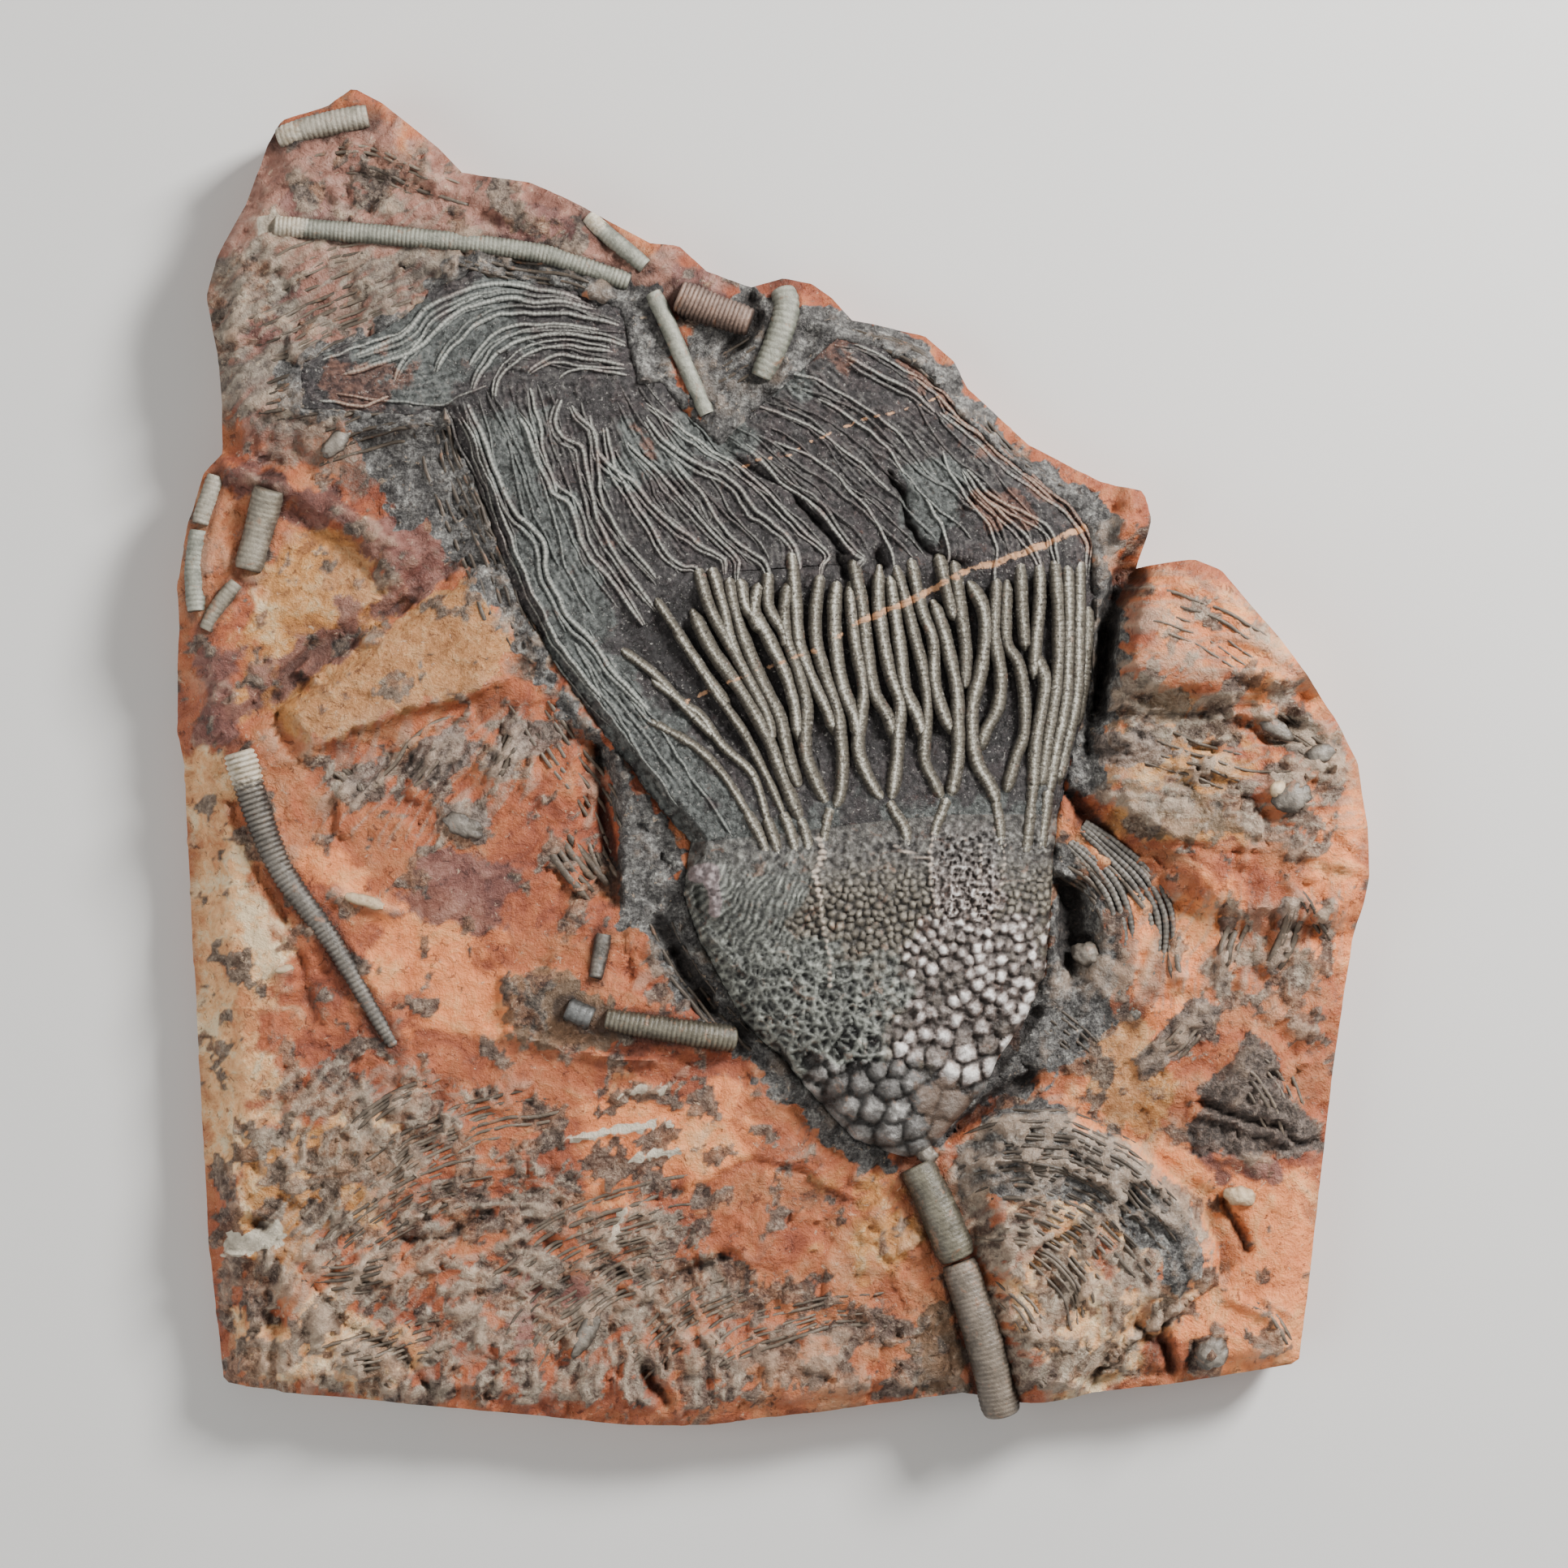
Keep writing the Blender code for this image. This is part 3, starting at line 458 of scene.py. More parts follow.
def fan_sheet(name, first, second, spacing):
    """A flat sheet from one edge curve to another. Returns it with its shares across and along."""
    length = max(route_length(first), route_length(second))
    width = max(math.dist(a, b) for a, b in zip(smooth_route(first, 5), smooth_route(second, 5)))
    piece, shares = new_grid(name, math.ceil(width / spacing), math.ceil(length / (1.4 * spacing)))
    rows = 200
    first, second = smooth_route(first, rows), smooth_route(second, rows)
    step = shares[:, 1] * (rows - 1)
    a = np.column_stack([np.interp(step, np.arange(rows), first[:, k]) for k in (0, 1)])
    b = np.column_stack([np.interp(step, np.arange(rows), second[:, k]) for k in (0, 1)])
    flat = a + (b - a) * shares[:, :1]
    put_places(piece, np.column_stack([flat, np.zeros(len(flat))]))
    return piece, shares


def draw_rim(piece, place_rim):
    """Extrudes a sheet's open edge once and puts the new edge where place_rim says."""
    edit(piece, select_rim, lambda: bpy.ops.mesh.extrude_edges_move())
    chosen = np.empty(len(piece.data.vertices), bool)
    piece.data.vertices.foreach_get("select", chosen)
    places = places_of(piece)
    places[chosen] = place_rim(places[chosen])
    put_places(piece, places)


def close_back(piece):
    edit(piece, select_rim, lambda: bpy.ops.mesh.edge_face_add())
    turn_faces_out(piece)


def close_below(piece):
    """Draws a sheet's open edge down inside the slab and closes its back."""
    def down(rim):
        rim[:, 2] = PIECES_END
        return rim

    draw_rim(piece, down)
    close_back(piece)


def joined(name, parts):
    bpy.ops.object.select_all(action="DESELECT")
    for part in parts:
        part.select_set(True)
    bpy.context.view_layer.objects.active = parts[0]
    bpy.ops.object.join()
    parts[0].name = parts[0].data.name = name
    return parts[0]


def add_share(piece, name, values):
    """Stores one value for each vertex, for the material to read."""
    attribute = piece.data.attributes.get(name)
    if attribute is None:
        attribute = piece.data.attributes.new(name, "FLOAT", "POINT")
    attribute.data.foreach_set("value", np.clip(values, 0, 1).astype(np.float32))


def share_of(piece, name):
    values = np.empty(len(piece.data.vertices), np.float32)
    piece.data.attributes[name].data.foreach_get("value", values)
    return values


def finish_piece(piece, material, slot, *nodes):
    piece.data.materials.clear()
    piece.data.materials.append(material)
    only(piece)
    bpy.ops.object.shade_smooth_by_angle(angle=math.radians(SMOOTH_BELOW))
    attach(piece, BODY)
    if nodes:
        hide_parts(*nodes)


# --- The slab ---------------------------------------------------------------------------------

# Steps in the rock: the ground to the left of the line, as it runs, stands this much higher.
LEDGES = [
    (2.2, [(60, -106), (70, -99), (78, -92), (78.6, -86), (74, -77), (64, -68), (52, -62),
        (40, -62), (30, -68)]),
    (1.3, [(60, 22), (68, 21.5), (76, 20.5), (84, 19), (91, 15)]),
    (1.2, [(59, 16), (68, 15.5), (77, 14.5), (86, 13)]),
    (1.6, [(58, 8.5), (67, 8), (75, 8.2), (82, 7)]),
    (1.0, [(57, 2), (66, 0), (76, -3), (84, -6)]),
    (1.4, [(60, -9), (70, -14), (80, -16), (92, -17), (101, -20)]),
    (1.2, [(66, -23), (76, -27), (88, -27), (98, -30)]),
    (1.3, [(98, -68), (90, -69.5), (82, -70), (74, -69)]),
    (1.6, [(-46, 32), (-50, 34.5), (-58, 31), (-66, 24.5), (-76, 17.5), (-84, 10)]),
    (1.8, [(-80, 1), (-72, 4.5), (-64, 8), (-56, 9.5), (-49, 12)]),
    (1.4, [(-66, 28), (-61, 35), (-70, 42), (-83, 48), (-96, 52.5)]),
    (1.3, [(-92, 9), (-85, 17), (-75, 24), (-66, 28)]),
    (1.0, [(-96, 61), (-84, 60), (-72, 56.5), (-62, 57)]),
    (0.9, [(-84, 100), (-72, 103), (-60, 101), (-48, 95)]),
    (1.7, [(-22, -53), (-35, -51), (-45, -48)]),
    (1.4, [(-84, -83), (-88, -87), (-98, -88)]),
    (1.2, [(-20, -78), (-32, -79), (-45, -78), (-55, -84), (-68, -86)]),
    (1.1, [(-60, -112), (-65, -105), (-75, -100), (-80, -93)]),
    (1.0, [(-56, -62), (-64, -58), (-76, -59), (-86, -63)]),
    (1.0, [(-12, -74), (-2, -70), (6, -72), (14, -78)]),
    (1.1, [(26, -104), (18, -100), (8, -101), (-4, -98), (-16, -101)]),
    (1.3, [(78, -92), (68, -98), (60, -105), (57, -113)]),
]
# Raised lines and lumps, and with a height below zero, cracks and grooves: height, width, line.
RIDGES = [
    (1.4, 1.3, [(82, -28), (80.5, -33), (79.5, -38)]),
    (1.3, 1.2, [(84.5, -32), (83.5, -36), (83, -40)]),
    (1.4, 1.2, [(91.5, -24), (90.5, -31), (88, -38)]),
    (1.1, 1.0, [(93, -25), (93.4, -28), (93, -31)]),
    (0.9, 0.7, [(91, -22), (96, -28), (100, -34)]),
    (1.0, 1.0, [(87, -27), (86, -32), (86.4, -37)]),
    (1.2, 1.3, [(72, -30), (71, -36), (73, -40)]),
    (1.0, 0.9, [(68, -33), (65, -40), (63, -47)]),
    (1.2, 1.7, [(76, -44), (71, -50), (66, -54)]),
    (1.0, 1.5, [(92, -48), (96, -47.5)]),
    (1.0, 0.8, [(81, -95), (88, -98), (92, -104)]),
    (0.9, 0.7, [(87, -95), (92, -98)]),
    (0.8, 0.9, [(32, -68), (38, -65), (45, -64), (53, -65), (60, -68), (72, -78)]),
    (0.8, 0.8, [(35, -72), (42, -70), (50, -70), (56, -73), (62, -77)]),
    (1.2, 0.6, [(-52.5, 8), (-60, 5), (-66, -1), (-73, -9)]),
    (1.0, 0.8, [(-56, 3), (-60, -1), (-64, -7)]),
    (1.0, 0.8, [(-44, 5), (-46, 1), (-48.6, -3)]),
    (1.3, 0.9, [(-32, 3), (-30, -4), (-32, -12)]),
    (0.9, 0.6, [(-36, -67), (-26, -66), (-17, -64)]),
    (0.8, 0.6, [(-24, -70), (-15, -69)]),
    (0.8, 0.6, [(-26, -59), (-18, -58)]),
    (1.2, 0.8, [(-25, -80), (-26, -82), (-28, -84), (-30, -84)]),
    (1.4, 1.5, [(-30, -97), (-34, -103)]),
    (1.3, 1.4, [(-28, -105), (-30, -110)]),
    (1.4, 3.4, [(-79, 55), (-75, 55.5)]),
    (1.3, 1.7, [(-76, -24), (-71, -25), (-66, -27)]),
    (1.1, 1.4, [(-86, -37), (-84, -37.5)]),
    (1.6, 2.0, [(86, 7), (87, 5.5)]),
    (1.5, 1.6, [(92, 4.5), (94, 3.5)]),
    (1.3, 1.8, [(97, 0), (97.5, 1)]),
    (1.1, 2.8, [(87, -104), (87.6, -104)]),
    (-2.2, 1.6, [(74, -106), (74.6, -104)]),
    (1.1, 0.9, [(52, -31), (53, -31.4)]),
    (-1.8, 0.8, [(76, -61), (82, -63), (90, -65), (93, -68), (97, -68)]),
    (-1.7, 0.7, [(80, -78), (82, -82), (84, -86.5)]),
    (-1.6, 1.0, [(-20, -30), (-15, -37), (-10, -44)]),
    (-1.5, 0.8, [(-68, -86), (-55, -84), (-45, -78)]),
    (-1.4, 0.9, [(-80, -93), (-75, -100), (-65, -105), (-60, -112)]),
    (-2.4, 1.2, [(-89.8, -82), (-89, -82)]),
    (-2.2, 1.3, [(-88, -99), (-86.5, -100)]),
    (-2.4, 1.4, [(-22, -108), (-18, -113)]),
    (-1.4, 1.0, [(-30, -90), (-18, -92), (-8, -88)]),
    (-1.1, 1.0, [(-94, -10), (-84, -30), (-80, -46)]),
    (-1.4, 0.9, [(64, -100), (70, -104), (71, -109)]),
    (-1.4, 0.9, [(69, -98), (69.6, -103), (71, -107)]),
    (-2.4, 1.2, [(46, -56.5), (38, -60.6), (32, -67)]),
]
# Deep places, sunk into the rock and painted dark as shade: depth, outline.
HOLLOWS = [
    (2.6, [(66.5, 34.5), (61, 33.5), (58, 26), (57.4, 15), (57, 8), (58.8, 7), (60.6, 15),
        (61.6, 25), (66, 31)]),
    (2.6, [(51.5, -5.6), (54.5, -6.4), (59, -11.6), (66.5, -22), (64.4, -23.6), (57.6, -15.4)]),
    (1.7, [(-31.4, 3), (-29.6, 2), (-28.4, -8), (-26.4, -18), (-25.4, -27), (-28, -26),
        (-29.6, -16), (-31, -6)]),
    (1.2, [(50.6, -21), (53, -21), (55.6, -26), (56.6, -33), (54, -38), (50.8, -37)]),
    (1.2, [(-20.5, -27.5), (-18.5, -27), (-10, -41), (-8.6, -46), (-11, -46), (-16.5, -38)]),
    (2.2, [(30.6, -91), (32, -90), (38, -108), (38.4, -114), (36, -114)]),
    (1.8, [(24.4, -74), (22.8, -73), (28.8, -87), (30.6, -88)]),
    (2.4, [(-4, 83.5), (-2.6, 82), (-1, 77), (-4, 72), (-8, 69.5), (-9, 71), (-5, 75), (-4.6, 79)]),
    (1.2, [(46.5, -43.4), (43, -48.6), (38.6, -55), (40, -56.4), (45, -50), (48.6, -44)]),
]
# Ground that more than one of the tables below names.
LARGE_PLATE = [
    (84, -48), (89, -52), (91, -60), (96, -64), (98, -69), (92, -70), (76, -69.6), (73, -66),
    (77, -61), (76, -58), (81, -54),
]
SMALL_PLATE = [(76, -42), (79, -45), (73, -52), (66, -56), (64.4, -53), (70, -48), (72, -43)]
LEFT_SHELF = [(-84, 10), (-66, 24), (-50, 33), (-45, 20), (-50, 12), (-64, 8), (-80, 1)]
LOWER_SHELF = [(46, -57), (60, -58), (72, -68), (76, -76), (66, -74), (54, -66)]
# Where fossil scraps lie in the rock, and how much of the ground they cover there.
SCRAPS = [
    (0.62, [(-98, -60), (-86, -66), (-56, -62), (-34, -74), (-12, -82), (0, -92), (24, -98),
        (32, -114), (-98, -114)]),
    (0.45, [(-86, -52), (-66, -54), (-44, -58), (-12, -56), (2, -66), (-12, -84), (-84, -80)]),
    (0.8, [(-72, -56), (-60, -56), (-56, -66), (-76, -74), (-86, -70), (-84, -60)]),
    (0.72, [(-46, -80), (-22, -80), (-14, -92), (-24, -100), (-44, -98), (-56, -88)]),
    (0.66, [(33, -71), (38, -62), (48, -58), (62, -66), (76, -80), (80, -90), (74, -97), (60, -106),
        (56, -114), (42, -114)]),
    (0.3, [(44, -84), (66, -76), (70, -84), (56, -92), (46, -92)]),
    (0.48, [(60, 12), (88, 12), (100, 0), (98, -12), (80, -18), (66, -16), (57, -2)]),
    (0.9, [(83, 6), (92, 8.6), (98, 3), (101, -2), (96, 0), (90, 2)]),
    (0.8, [(86, -9), (90, -13.4), (96, -11), (98, -6), (95, -2), (88, -2.6), (85, -5)]),
    (0.95, LARGE_PLATE),
    (0.95, SMALL_PLATE),
    (0.9, [(79.5, -40.6), (87, -40.6), (87, -45), (80.6, -45)]),
    (0.9, [(91, -45.4), (97, -45), (98, -50), (92, -50)]),
    (0.85, [(84, -107), (91, -107), (91, -101), (84, -101)]),
    (0.95, [(74, -108), (80, -108), (80, -102), (74, -102)]),
    (0.95, [(45, -42), (52, -45), (60, -54), (60, -57), (48, -56.6), (40, -56)]),
    (0.85, [(49, -12), (56, -18), (62, -28), (64, -46), (58, -50), (50, -44)]),
    (0.5, [(78, -26), (98, -24), (99, -44), (86, -42), (78, -40)]),
    (0.75, [(-78, -0.6), (-72, 0), (-68, -6), (-74, -10), (-78, -6)]),
    (0.8, [(-65, 5), (-58, 3), (-55, -6), (-58, -9), (-66, -6)]),
    (0.85, [(-59, -8), (-50, -8), (-48, -14), (-54, -17), (-60, -13)]),
    (0.8, [(-50, 7), (-40, 8), (-42, -1), (-46, -5), (-51, -2)]),
    (0.75, [(-39, -13), (-29, -13), (-26, -26), (-33, -24), (-40, -18)]),
    (0.7, [(-48, -38), (-38, -37), (-36, -46), (-46, -48)]),
    (0.6, [(-84, 103), (-70, 106), (-62, 100), (-74, 94), (-84, 97)]),
    (0.5, [(-58, 104), (-40, 100), (-26, 93), (-34, 89), (-56, 94)]),
    (0.62, [(-98, 84), (-88, 90), (-82, 84), (-90, 74), (-98, 70)]),
    (0.7, [(-20, -28), (-10, -30), (-8, -46), (-20, -42)]),
    (0.22, [(-100, -58), (-90, -56), (-84, -30), (-92, 0), (-103, 2)]),
    (0.3, [(61, 32), (86, 26), (96, 12), (64, 12)]),
]
# Fibres in the scraps: how they run, from where, and the ground that they cover. An arc runs
# round its place; a straight run has its direction in degrees.
FIBRES = [
    ("arc", (-46, -113), [(-92, -78), (-50, -66), (-8, -80), (0, -116), (-92, -116)]),
    ("arc", (44, -97), [(30, -70), (46, -54), (66, -64), (86, -90), (60, -116), (36, -116)]),
    ("arc", (-62, -70), [(-92, -54), (-66, -50), (-42, -58), (-50, -66), (-92, -78)]),
    ("run", 36, [(-100, 58), (-60, 56), (-44, 68), (-44, 92), (-60, 102), (-90, 96), (-100, 84)]),
    ("run", 55, [(-82, 6), (-40, 12), (-38, -8), (-60, -20), (-82, -14)]),
    ("run", 80, [(62, -22), (104, -20), (102, -44), (78, -44), (62, -48)]),
    ("run", -8, [(56, 40), (104, 24), (106, -18), (56, -12)]),
    ("run", 50, [(-62, 62), (-44, 66), (-36, 36), (-24, 12), (-34, 4), (-50, 24)]),
]
PATCHES = {  # colour: how soft its edge is, and the patches that have it
    "ochre": (7.0, [
        [(-93, 8), (-91, 30), (-84, 44), (-70, 40), (-65, 27), (-76, 18), (-84, 6)],
        [(58, -50), (66, -48), (72, -58), (66, -66), (58, -60)],
        [(60, 4), (74, 6), (84, -2), (80, -12), (62, -10)],
        [(-72, 107), (-66, 106), (-64, 101), (-70, 102)],
        [(-91, 95), (-86, 96), (-84, 90), (-90, 88)],
        [(10, -74), (18, -74), (24, -84), (16, -90), (8, -84)],
        [(-90, -70), (-80, -66), (-70, -78), (-84, -90), (-96, -84)],
    ]),
    "maroon": (4.0, [
        [(-97, 54), (-83, 50), (-74, 45), (-70, 40), (-78, 40), (-86, 44), (-97, 48)],
        [(-76, 41.3), (-70, 43), (-61, 42), (-55.7, 34.5), (-59.3, 30.2), (-66.1, 24.7),
            (-72.9, 19.8), (-82.1, 13.6), (-88.3, 9.3), (-93, 8), (-92, 13), (-87.7, 15.5),
            (-82.1, 21.6), (-72.9, 27.2), (-68, 29), (-69.2, 34.5)],
        [(-100, 20), (-93, 18), (-94, 6), (-102, 0)],
        [(-78, 62), (-70, 70), (-60, 74), (-62, 68), (-70, 62), (-76, 59)],
        [(-90, 84), (-80, 80), (-84, 72), (-92, 74)],
        [(-82, 104), (-86, 96), (-80, 92), (-76, 98)],
        [(-46, 97), (-30, 92), (-34, 88), (-50, 91)],
        [(74, -69), (90, -70), (92, -76), (78, -74)],
        [(-52, -94), (-34, -90), (-26, -98), (-44, -104)],
        [(-20, 90), (-8, 84), (-6, 78), (-16, 84)],
        [(-60, -14), (-44, -20), (-48, -32), (-66, -26)],
    ]),
    "mauve": (8.0, [
        [(-106, 108), (-84, 114), (-66, 112), (-40, 101), (-18, 90), (-6, 84), (-20, 78), (-50, 82),
            (-84, 58), (-102, 58)],
    ]),
    "salmon": (9.0, [
        [(76, -74), (96, -74), (95, -108), (80, -112), (72, -100)],
        LOWER_SHELF,
        [(66, 32), (82, 26), (94, 12), (84, 12), (66, 20)],
        [(92, -8), (104, -10), (103, -40), (92, -30)],
        [(68, -20), (82, -26), (78, -50), (66, -46)],
        [(-76, -20), (-50, -26), (-44, -44), (-64, -48)],
        [(-36, -60), (-8, -60), (2, -74), (-30, -74)],
        [(52, -10), (58, -12), (60, -17), (54, -17)],
    ]),
    "cream": (7.0, [
        [(44, -76), (58, -76), (64, -84), (50, -86)],
        # The left margin's cream is partly its own colour and partly painted light: its bevelled edge
        # is painted paler, as if lit.
        [(-106, 2), (-96, 0), (-88, -22), (-84, -44), (-88, -60), (-94, -76), (-106, -76)],
        [(44, -88), (58, -86), (72, -94), (66, -106), (54, -112), (44, -108)],
        [(59, 2), (74, 8), (82, 0), (78, -10), (62, -10)],
        [(-90, 26), (-84, 36), (-74, 38), (-70, 30), (-80, 25)],
        [(-60, -104), (-80, -96), (-94, -98), (-92, -110), (-66, -112)],
        [(-66, -60), (-84, -66), (-92, -80), (-80, -80), (-62, -70)],
        [(-100, 88), (-88, 88), (-88, 73), (-98, 71)],
    ]),
    "tan": (2.5, [
        LEFT_SHELF,
        [(57, -46), (66, -44), (68, -54), (62, -66), (56, -60)],
        [(-79, 37), (-70, 36), (-69, 28), (-78, 28)],
    ]),
    "olive": (2.5, [
        [(-47, -38), (-38, -37), (-30, -41), (-24, -50), (-35, -52), (-46, -49)],
        [(60, 13), (70, 12), (76, 7), (64, 4), (58, 6)],
        [(62, -4), (80, -6), (84, -14), (68, -14)],
        [(84, 8), (98, 5), (101, -2), (90, 1)],
        [(26, -96), (32, -96), (36, -112), (24, -112)],
    ]),
    "green": (6.0, [
        [(-92, 61), (-89, 53), (-80, 49), (-72, 46), (-66, 50), (-68, 60), (-78, 63)],
        [(-100, 60), (-84, 59), (-66, 57), (-58, 62), (-70, 72), (-84, 74), (-98, 70)],
        [(-99, 90), (-90, 90), (-84, 78), (-98, 72)],
        [(-74, 76), (-60, 82), (-48, 88), (-62, 90), (-78, 84)],
        [(-66, 60), (-56, 62), (-46, 34), (-34, 12), (-30, -2), (-36, 2), (-50, 26), (-62, 46)],
        [(-78, 55), (-70, 58), (-72, 52), (-78, 51)],
        [(30, -74), (36, -70), (40, -82), (34, -84)],
    ]),
    "mat": (2.6, [
        [(-46, 83), (-60, 83), (-50, 90), (-36, 88.5), (-24, 85.4), (-21, 79), (-17, 70), (-13, 61),
            (-24, 64), (-24, 76), (-32, 80)],
        [(-58, 63), (-55, 60), (-49, 40), (-44, 26), (-36, 14), (-28, 2), (-20, -9), (-14, -17),
            (-19, -29), (-26, -29), (-27, -12), (-29, 0), (-35, 6), (-43, 18), (-50, 34), (-57, 46),
            (-63, 56)],
        [(-20, -20), (-12, -20), (-10, -34), (0, -48), (14, -64), (22, -71), (18, -74), (4, -62),
            (-8, -50), (-16, -42), (-22, -30)],
        [(50, -14), (57, -22), (61, -34), (60, -48), (52, -55), (42, -55), (46, -44), (50, -30)],
        [(-16, 70), (-14, 60), (-9, 54), (-2, 54), (10, 66), (6, 78), (-4, 84), (-12, 76)],
        [(8, 66), (20, 60), (30, 50), (40, 42), (52, 32), (60, 36), (62.5, 40.5), (59, 46),
            (52, 50), (44, 55), (36, 63), (33, 69), (27, 73), (12, 80), (4, 76)],
        # This patch paints the notch beside the knoll dark grey: painted shadow.
        [(54, 35), (61.4, 33.5), (62.4, 25), (61.4, 15), (59.6, 5), (54, 4)],
        [(34, -69), (38, -63), (48, -59), (52, -62), (40, -70)],
        [(-86, 70), (-74, 74), (-62, 80), (-52, 87), (-48, 87), (-48, 62), (-60, 58), (-74, 59),
            (-86, 61)],
        [(52, 6), (60, 6), (60, -4), (52, -8)],
        [(-76, 60), (-71, 52), (-66, 42), (-63, 39.5), (-60, 41), (-55, 34), (-50, 28), (-43, 18),
            (-38, 18), (-44, 36), (-50, 52), (-54, 62), (-64, 63)],
        [(-30, 82), (-20, 82), (-16, 70), (-20, 62), (-30, 62)],
        [(32, -70), (38, -64), (50, -63), (62, -68), (72, -77), (77, -88), (72, -95), (66, -86),
            (56, -78), (44, -76), (34, -76)],
        [(27, -66), (30, -68), (39, -61), (48, -57), (50, -54), (46, -49), (38, -54), (30, -64)],
    ]),
    "slate": (1.6, [
        LARGE_PLATE,
        SMALL_PLATE,
        [(-74.7, -3.6), (-71, -1.2), (-67.4, -0.6), (-68, -3.6), (-71.7, -7.9), (-73.5, -11)],
        [(-62.4, 1.3), (-59.3, 4.4), (-53.8, 5.3), (-51, 1.9), (-53.2, -1.8), (-56.9, -3.6),
            (-60.6, -6.7), (-63.3, -4.9), (-64, -1.2)],
        [(-48.9, 1.3), (-47, 4.4), (-45.2, 6.5), (-37.8, 6.8), (-36, 4.4), (-37.2, 1.9),
            (-43.3, -0.6), (-47, -4.2), (-49.5, -3)],
        [(-58.1, -7.9), (-52, -7.9), (-49.2, -11.6), (-50.1, -14.7), (-53.2, -14.7),
            (-56.3, -11.6)],
        [(57, 4), (64, 5), (72, 1), (66, -2), (58, -1)],
        [(79.5, -28), (82.5, -28), (81, -34), (80, -40), (77.5, -40), (78.6, -33)],
        [(90, -24), (93.4, -24), (92.4, -31), (90, -38), (87, -38), (89, -31)],
    ]),
    "pale": (1.3, [
        [(-26.4, -80), (-25, -79.6), (-26.4, -85), (-28, -84.6)],
        [(-36, -66.5), (-17, -63.4), (-17, -64.6), (-36, -67.6)],
        [(-24, -69.5), (-15, -68.5), (-15, -69.7), (-24, -70.6)],
        [(-26, -58.5), (-18, -57.4), (-18, -58.6), (-26, -59.6)],
        [(-90, 94.6), (-85, 95), (-84, 91), (-88.6, 91)],
        [(-97, -88), (-88, -86.4), (-84, -84), (-86, -81.6), (-96, -84)],
    ]),
}
SMOOTH_GROUND = [
    [(76, -74), (95, -74), (94, -108), (80, -110), (72, -98)],
    LEFT_SHELF,
    LOWER_SHELF,
    [(-90, 18), (-88, 38), (-72, 42), (-66, 30), (-74, 22)],
    [(-46, -38), (-30, -37), (-20, -42), (-20, -53), (-35, -52), (-46, -49)],
    [(-80, -16), (-40, -10), (-36, -46), (-20, -56), (-60, -56), (-72, -40)],
    [(-40, -60), (0, -58), (4, -74), (-34, -78)],
    [(-106, 0), (-98, 0), (-90, -24), (-88, -56), (-96, -74), (-106, -74)],
]
VEINS = [  # width, line
    (0.6, [(15.5, 23.5), (20, 25.5), (25, 27.5), (30, 30), (34.5, 32.5), (41, 34.5), (45, 36),
        (50, 38), (55.5, 40.5)]),
    (0.45, [(-15, 9.5), (-10, 12), (-5, 14), (0, 16), (4, 17), (9, 19), (12, 21), (15.5, 23.5)]),
    (0.26, [(-6, 50.5), (-1, 52), (3.5, 53), (10, 56.5), (18, 59.5), (25, 61), (30, 63),
        (34.5, 65.5)]),
]
TALLEST = 22.6
SOFT_TOP = 1.4  # how far below the tallest place the rock begins to flatten
MOST_PLACES = 120000  # room for the slab's vertices


def over_patches(x, y, outlines, softness, seed):
    """One inside any of the outlines and zero outside them, with a ragged, soft edge."""
    deepest = np.full(np.shape(x), -1e3)
    for outline in outlines:
        deepest = np.maximum(deepest, depth_in(x, y, outline))
    deepest = deepest + 0.8 * softness * layers(x, y, 1.6 * softness, 4, seed, 0.6)
    return eased(deepest / softness + 0.5)


def patch_share(x, y, name):
    """Where one of the slab's patches shows."""
    softness, outlines = PATCHES[name]
    return over_patches(x, y, outlines, softness, 80 + 7 * list(PATCHES).index(name))


def side_of_line(x, y, line):
    """Distance from a line: above zero on its left as it runs, below zero on its right."""
    nearest, side = np.full(np.shape(x), 1e6), np.ones(np.shape(x))
    for (ax, ay), (bx, by) in zip(line, line[1:]):
        away = distance_to_line(x, y, [(ax, ay), (bx, by)])
        cross = (bx - ax) * (y - ay) - (by - ay) * (x - ax)
        closer = away < nearest
        nearest, side = np.where(closer, away, nearest), np.where(closer, np.sign(cross), side)
    return nearest * side


def fibre_relief(x, y):
    """Fine threads in the rock, and how strongly they show in each place."""
    threads, strength = np.zeros(len(x)), np.zeros(len(x))
    bend_x = x + 2.4 * lumps(x, y, 14.0, 171) + 0.6 * lumps(x, y, 4.0, 172)
    bend_y = y + 2.4 * lumps(x, y, 14.0, 173) + 0.6 * lumps(x, y, 4.0, 174)
    for n, (kind, origin, outline) in enumerate(FIBRES):
        if kind == "arc":
            away_x, away_y = bend_x - origin[0], bend_y - origin[1]
            across = np.hypot(away_x, away_y)
            along = np.arctan2(away_x, away_y) * 30
        else:
            along, across = turned(bend_x, bend_y, origin)
        lines = 1 - 2.2 * np.abs(lumps(across, along / 7.0, 2.3, 175 + n))
        here = eased(depth_in(x, y, outline) / 6.0 + 0.3)
        stronger = here > strength
        threads, strength = np.where(stronger, lines, threads), np.maximum(here, strength)
    return np.clip(threads, -0.4, 1), strength


def scrap_share(x, y):
    """Where fossil scraps show in the rock: ragged islands, denser in some ground than other."""
    density = np.full(len(x), 0.14)
    for cover, outline in SCRAPS:
        inside = eased(depth_in(x, y, outline) / 3.0 + 0.5)
        density = density + (cover - density) * inside * (cover > density)
    level = 1 / (1 + np.exp(-3.4 * layers(x, y, 7.0, 5, 181, 0.62)))
    return eased((level - (1 - density)) / 0.16 + 0.5)


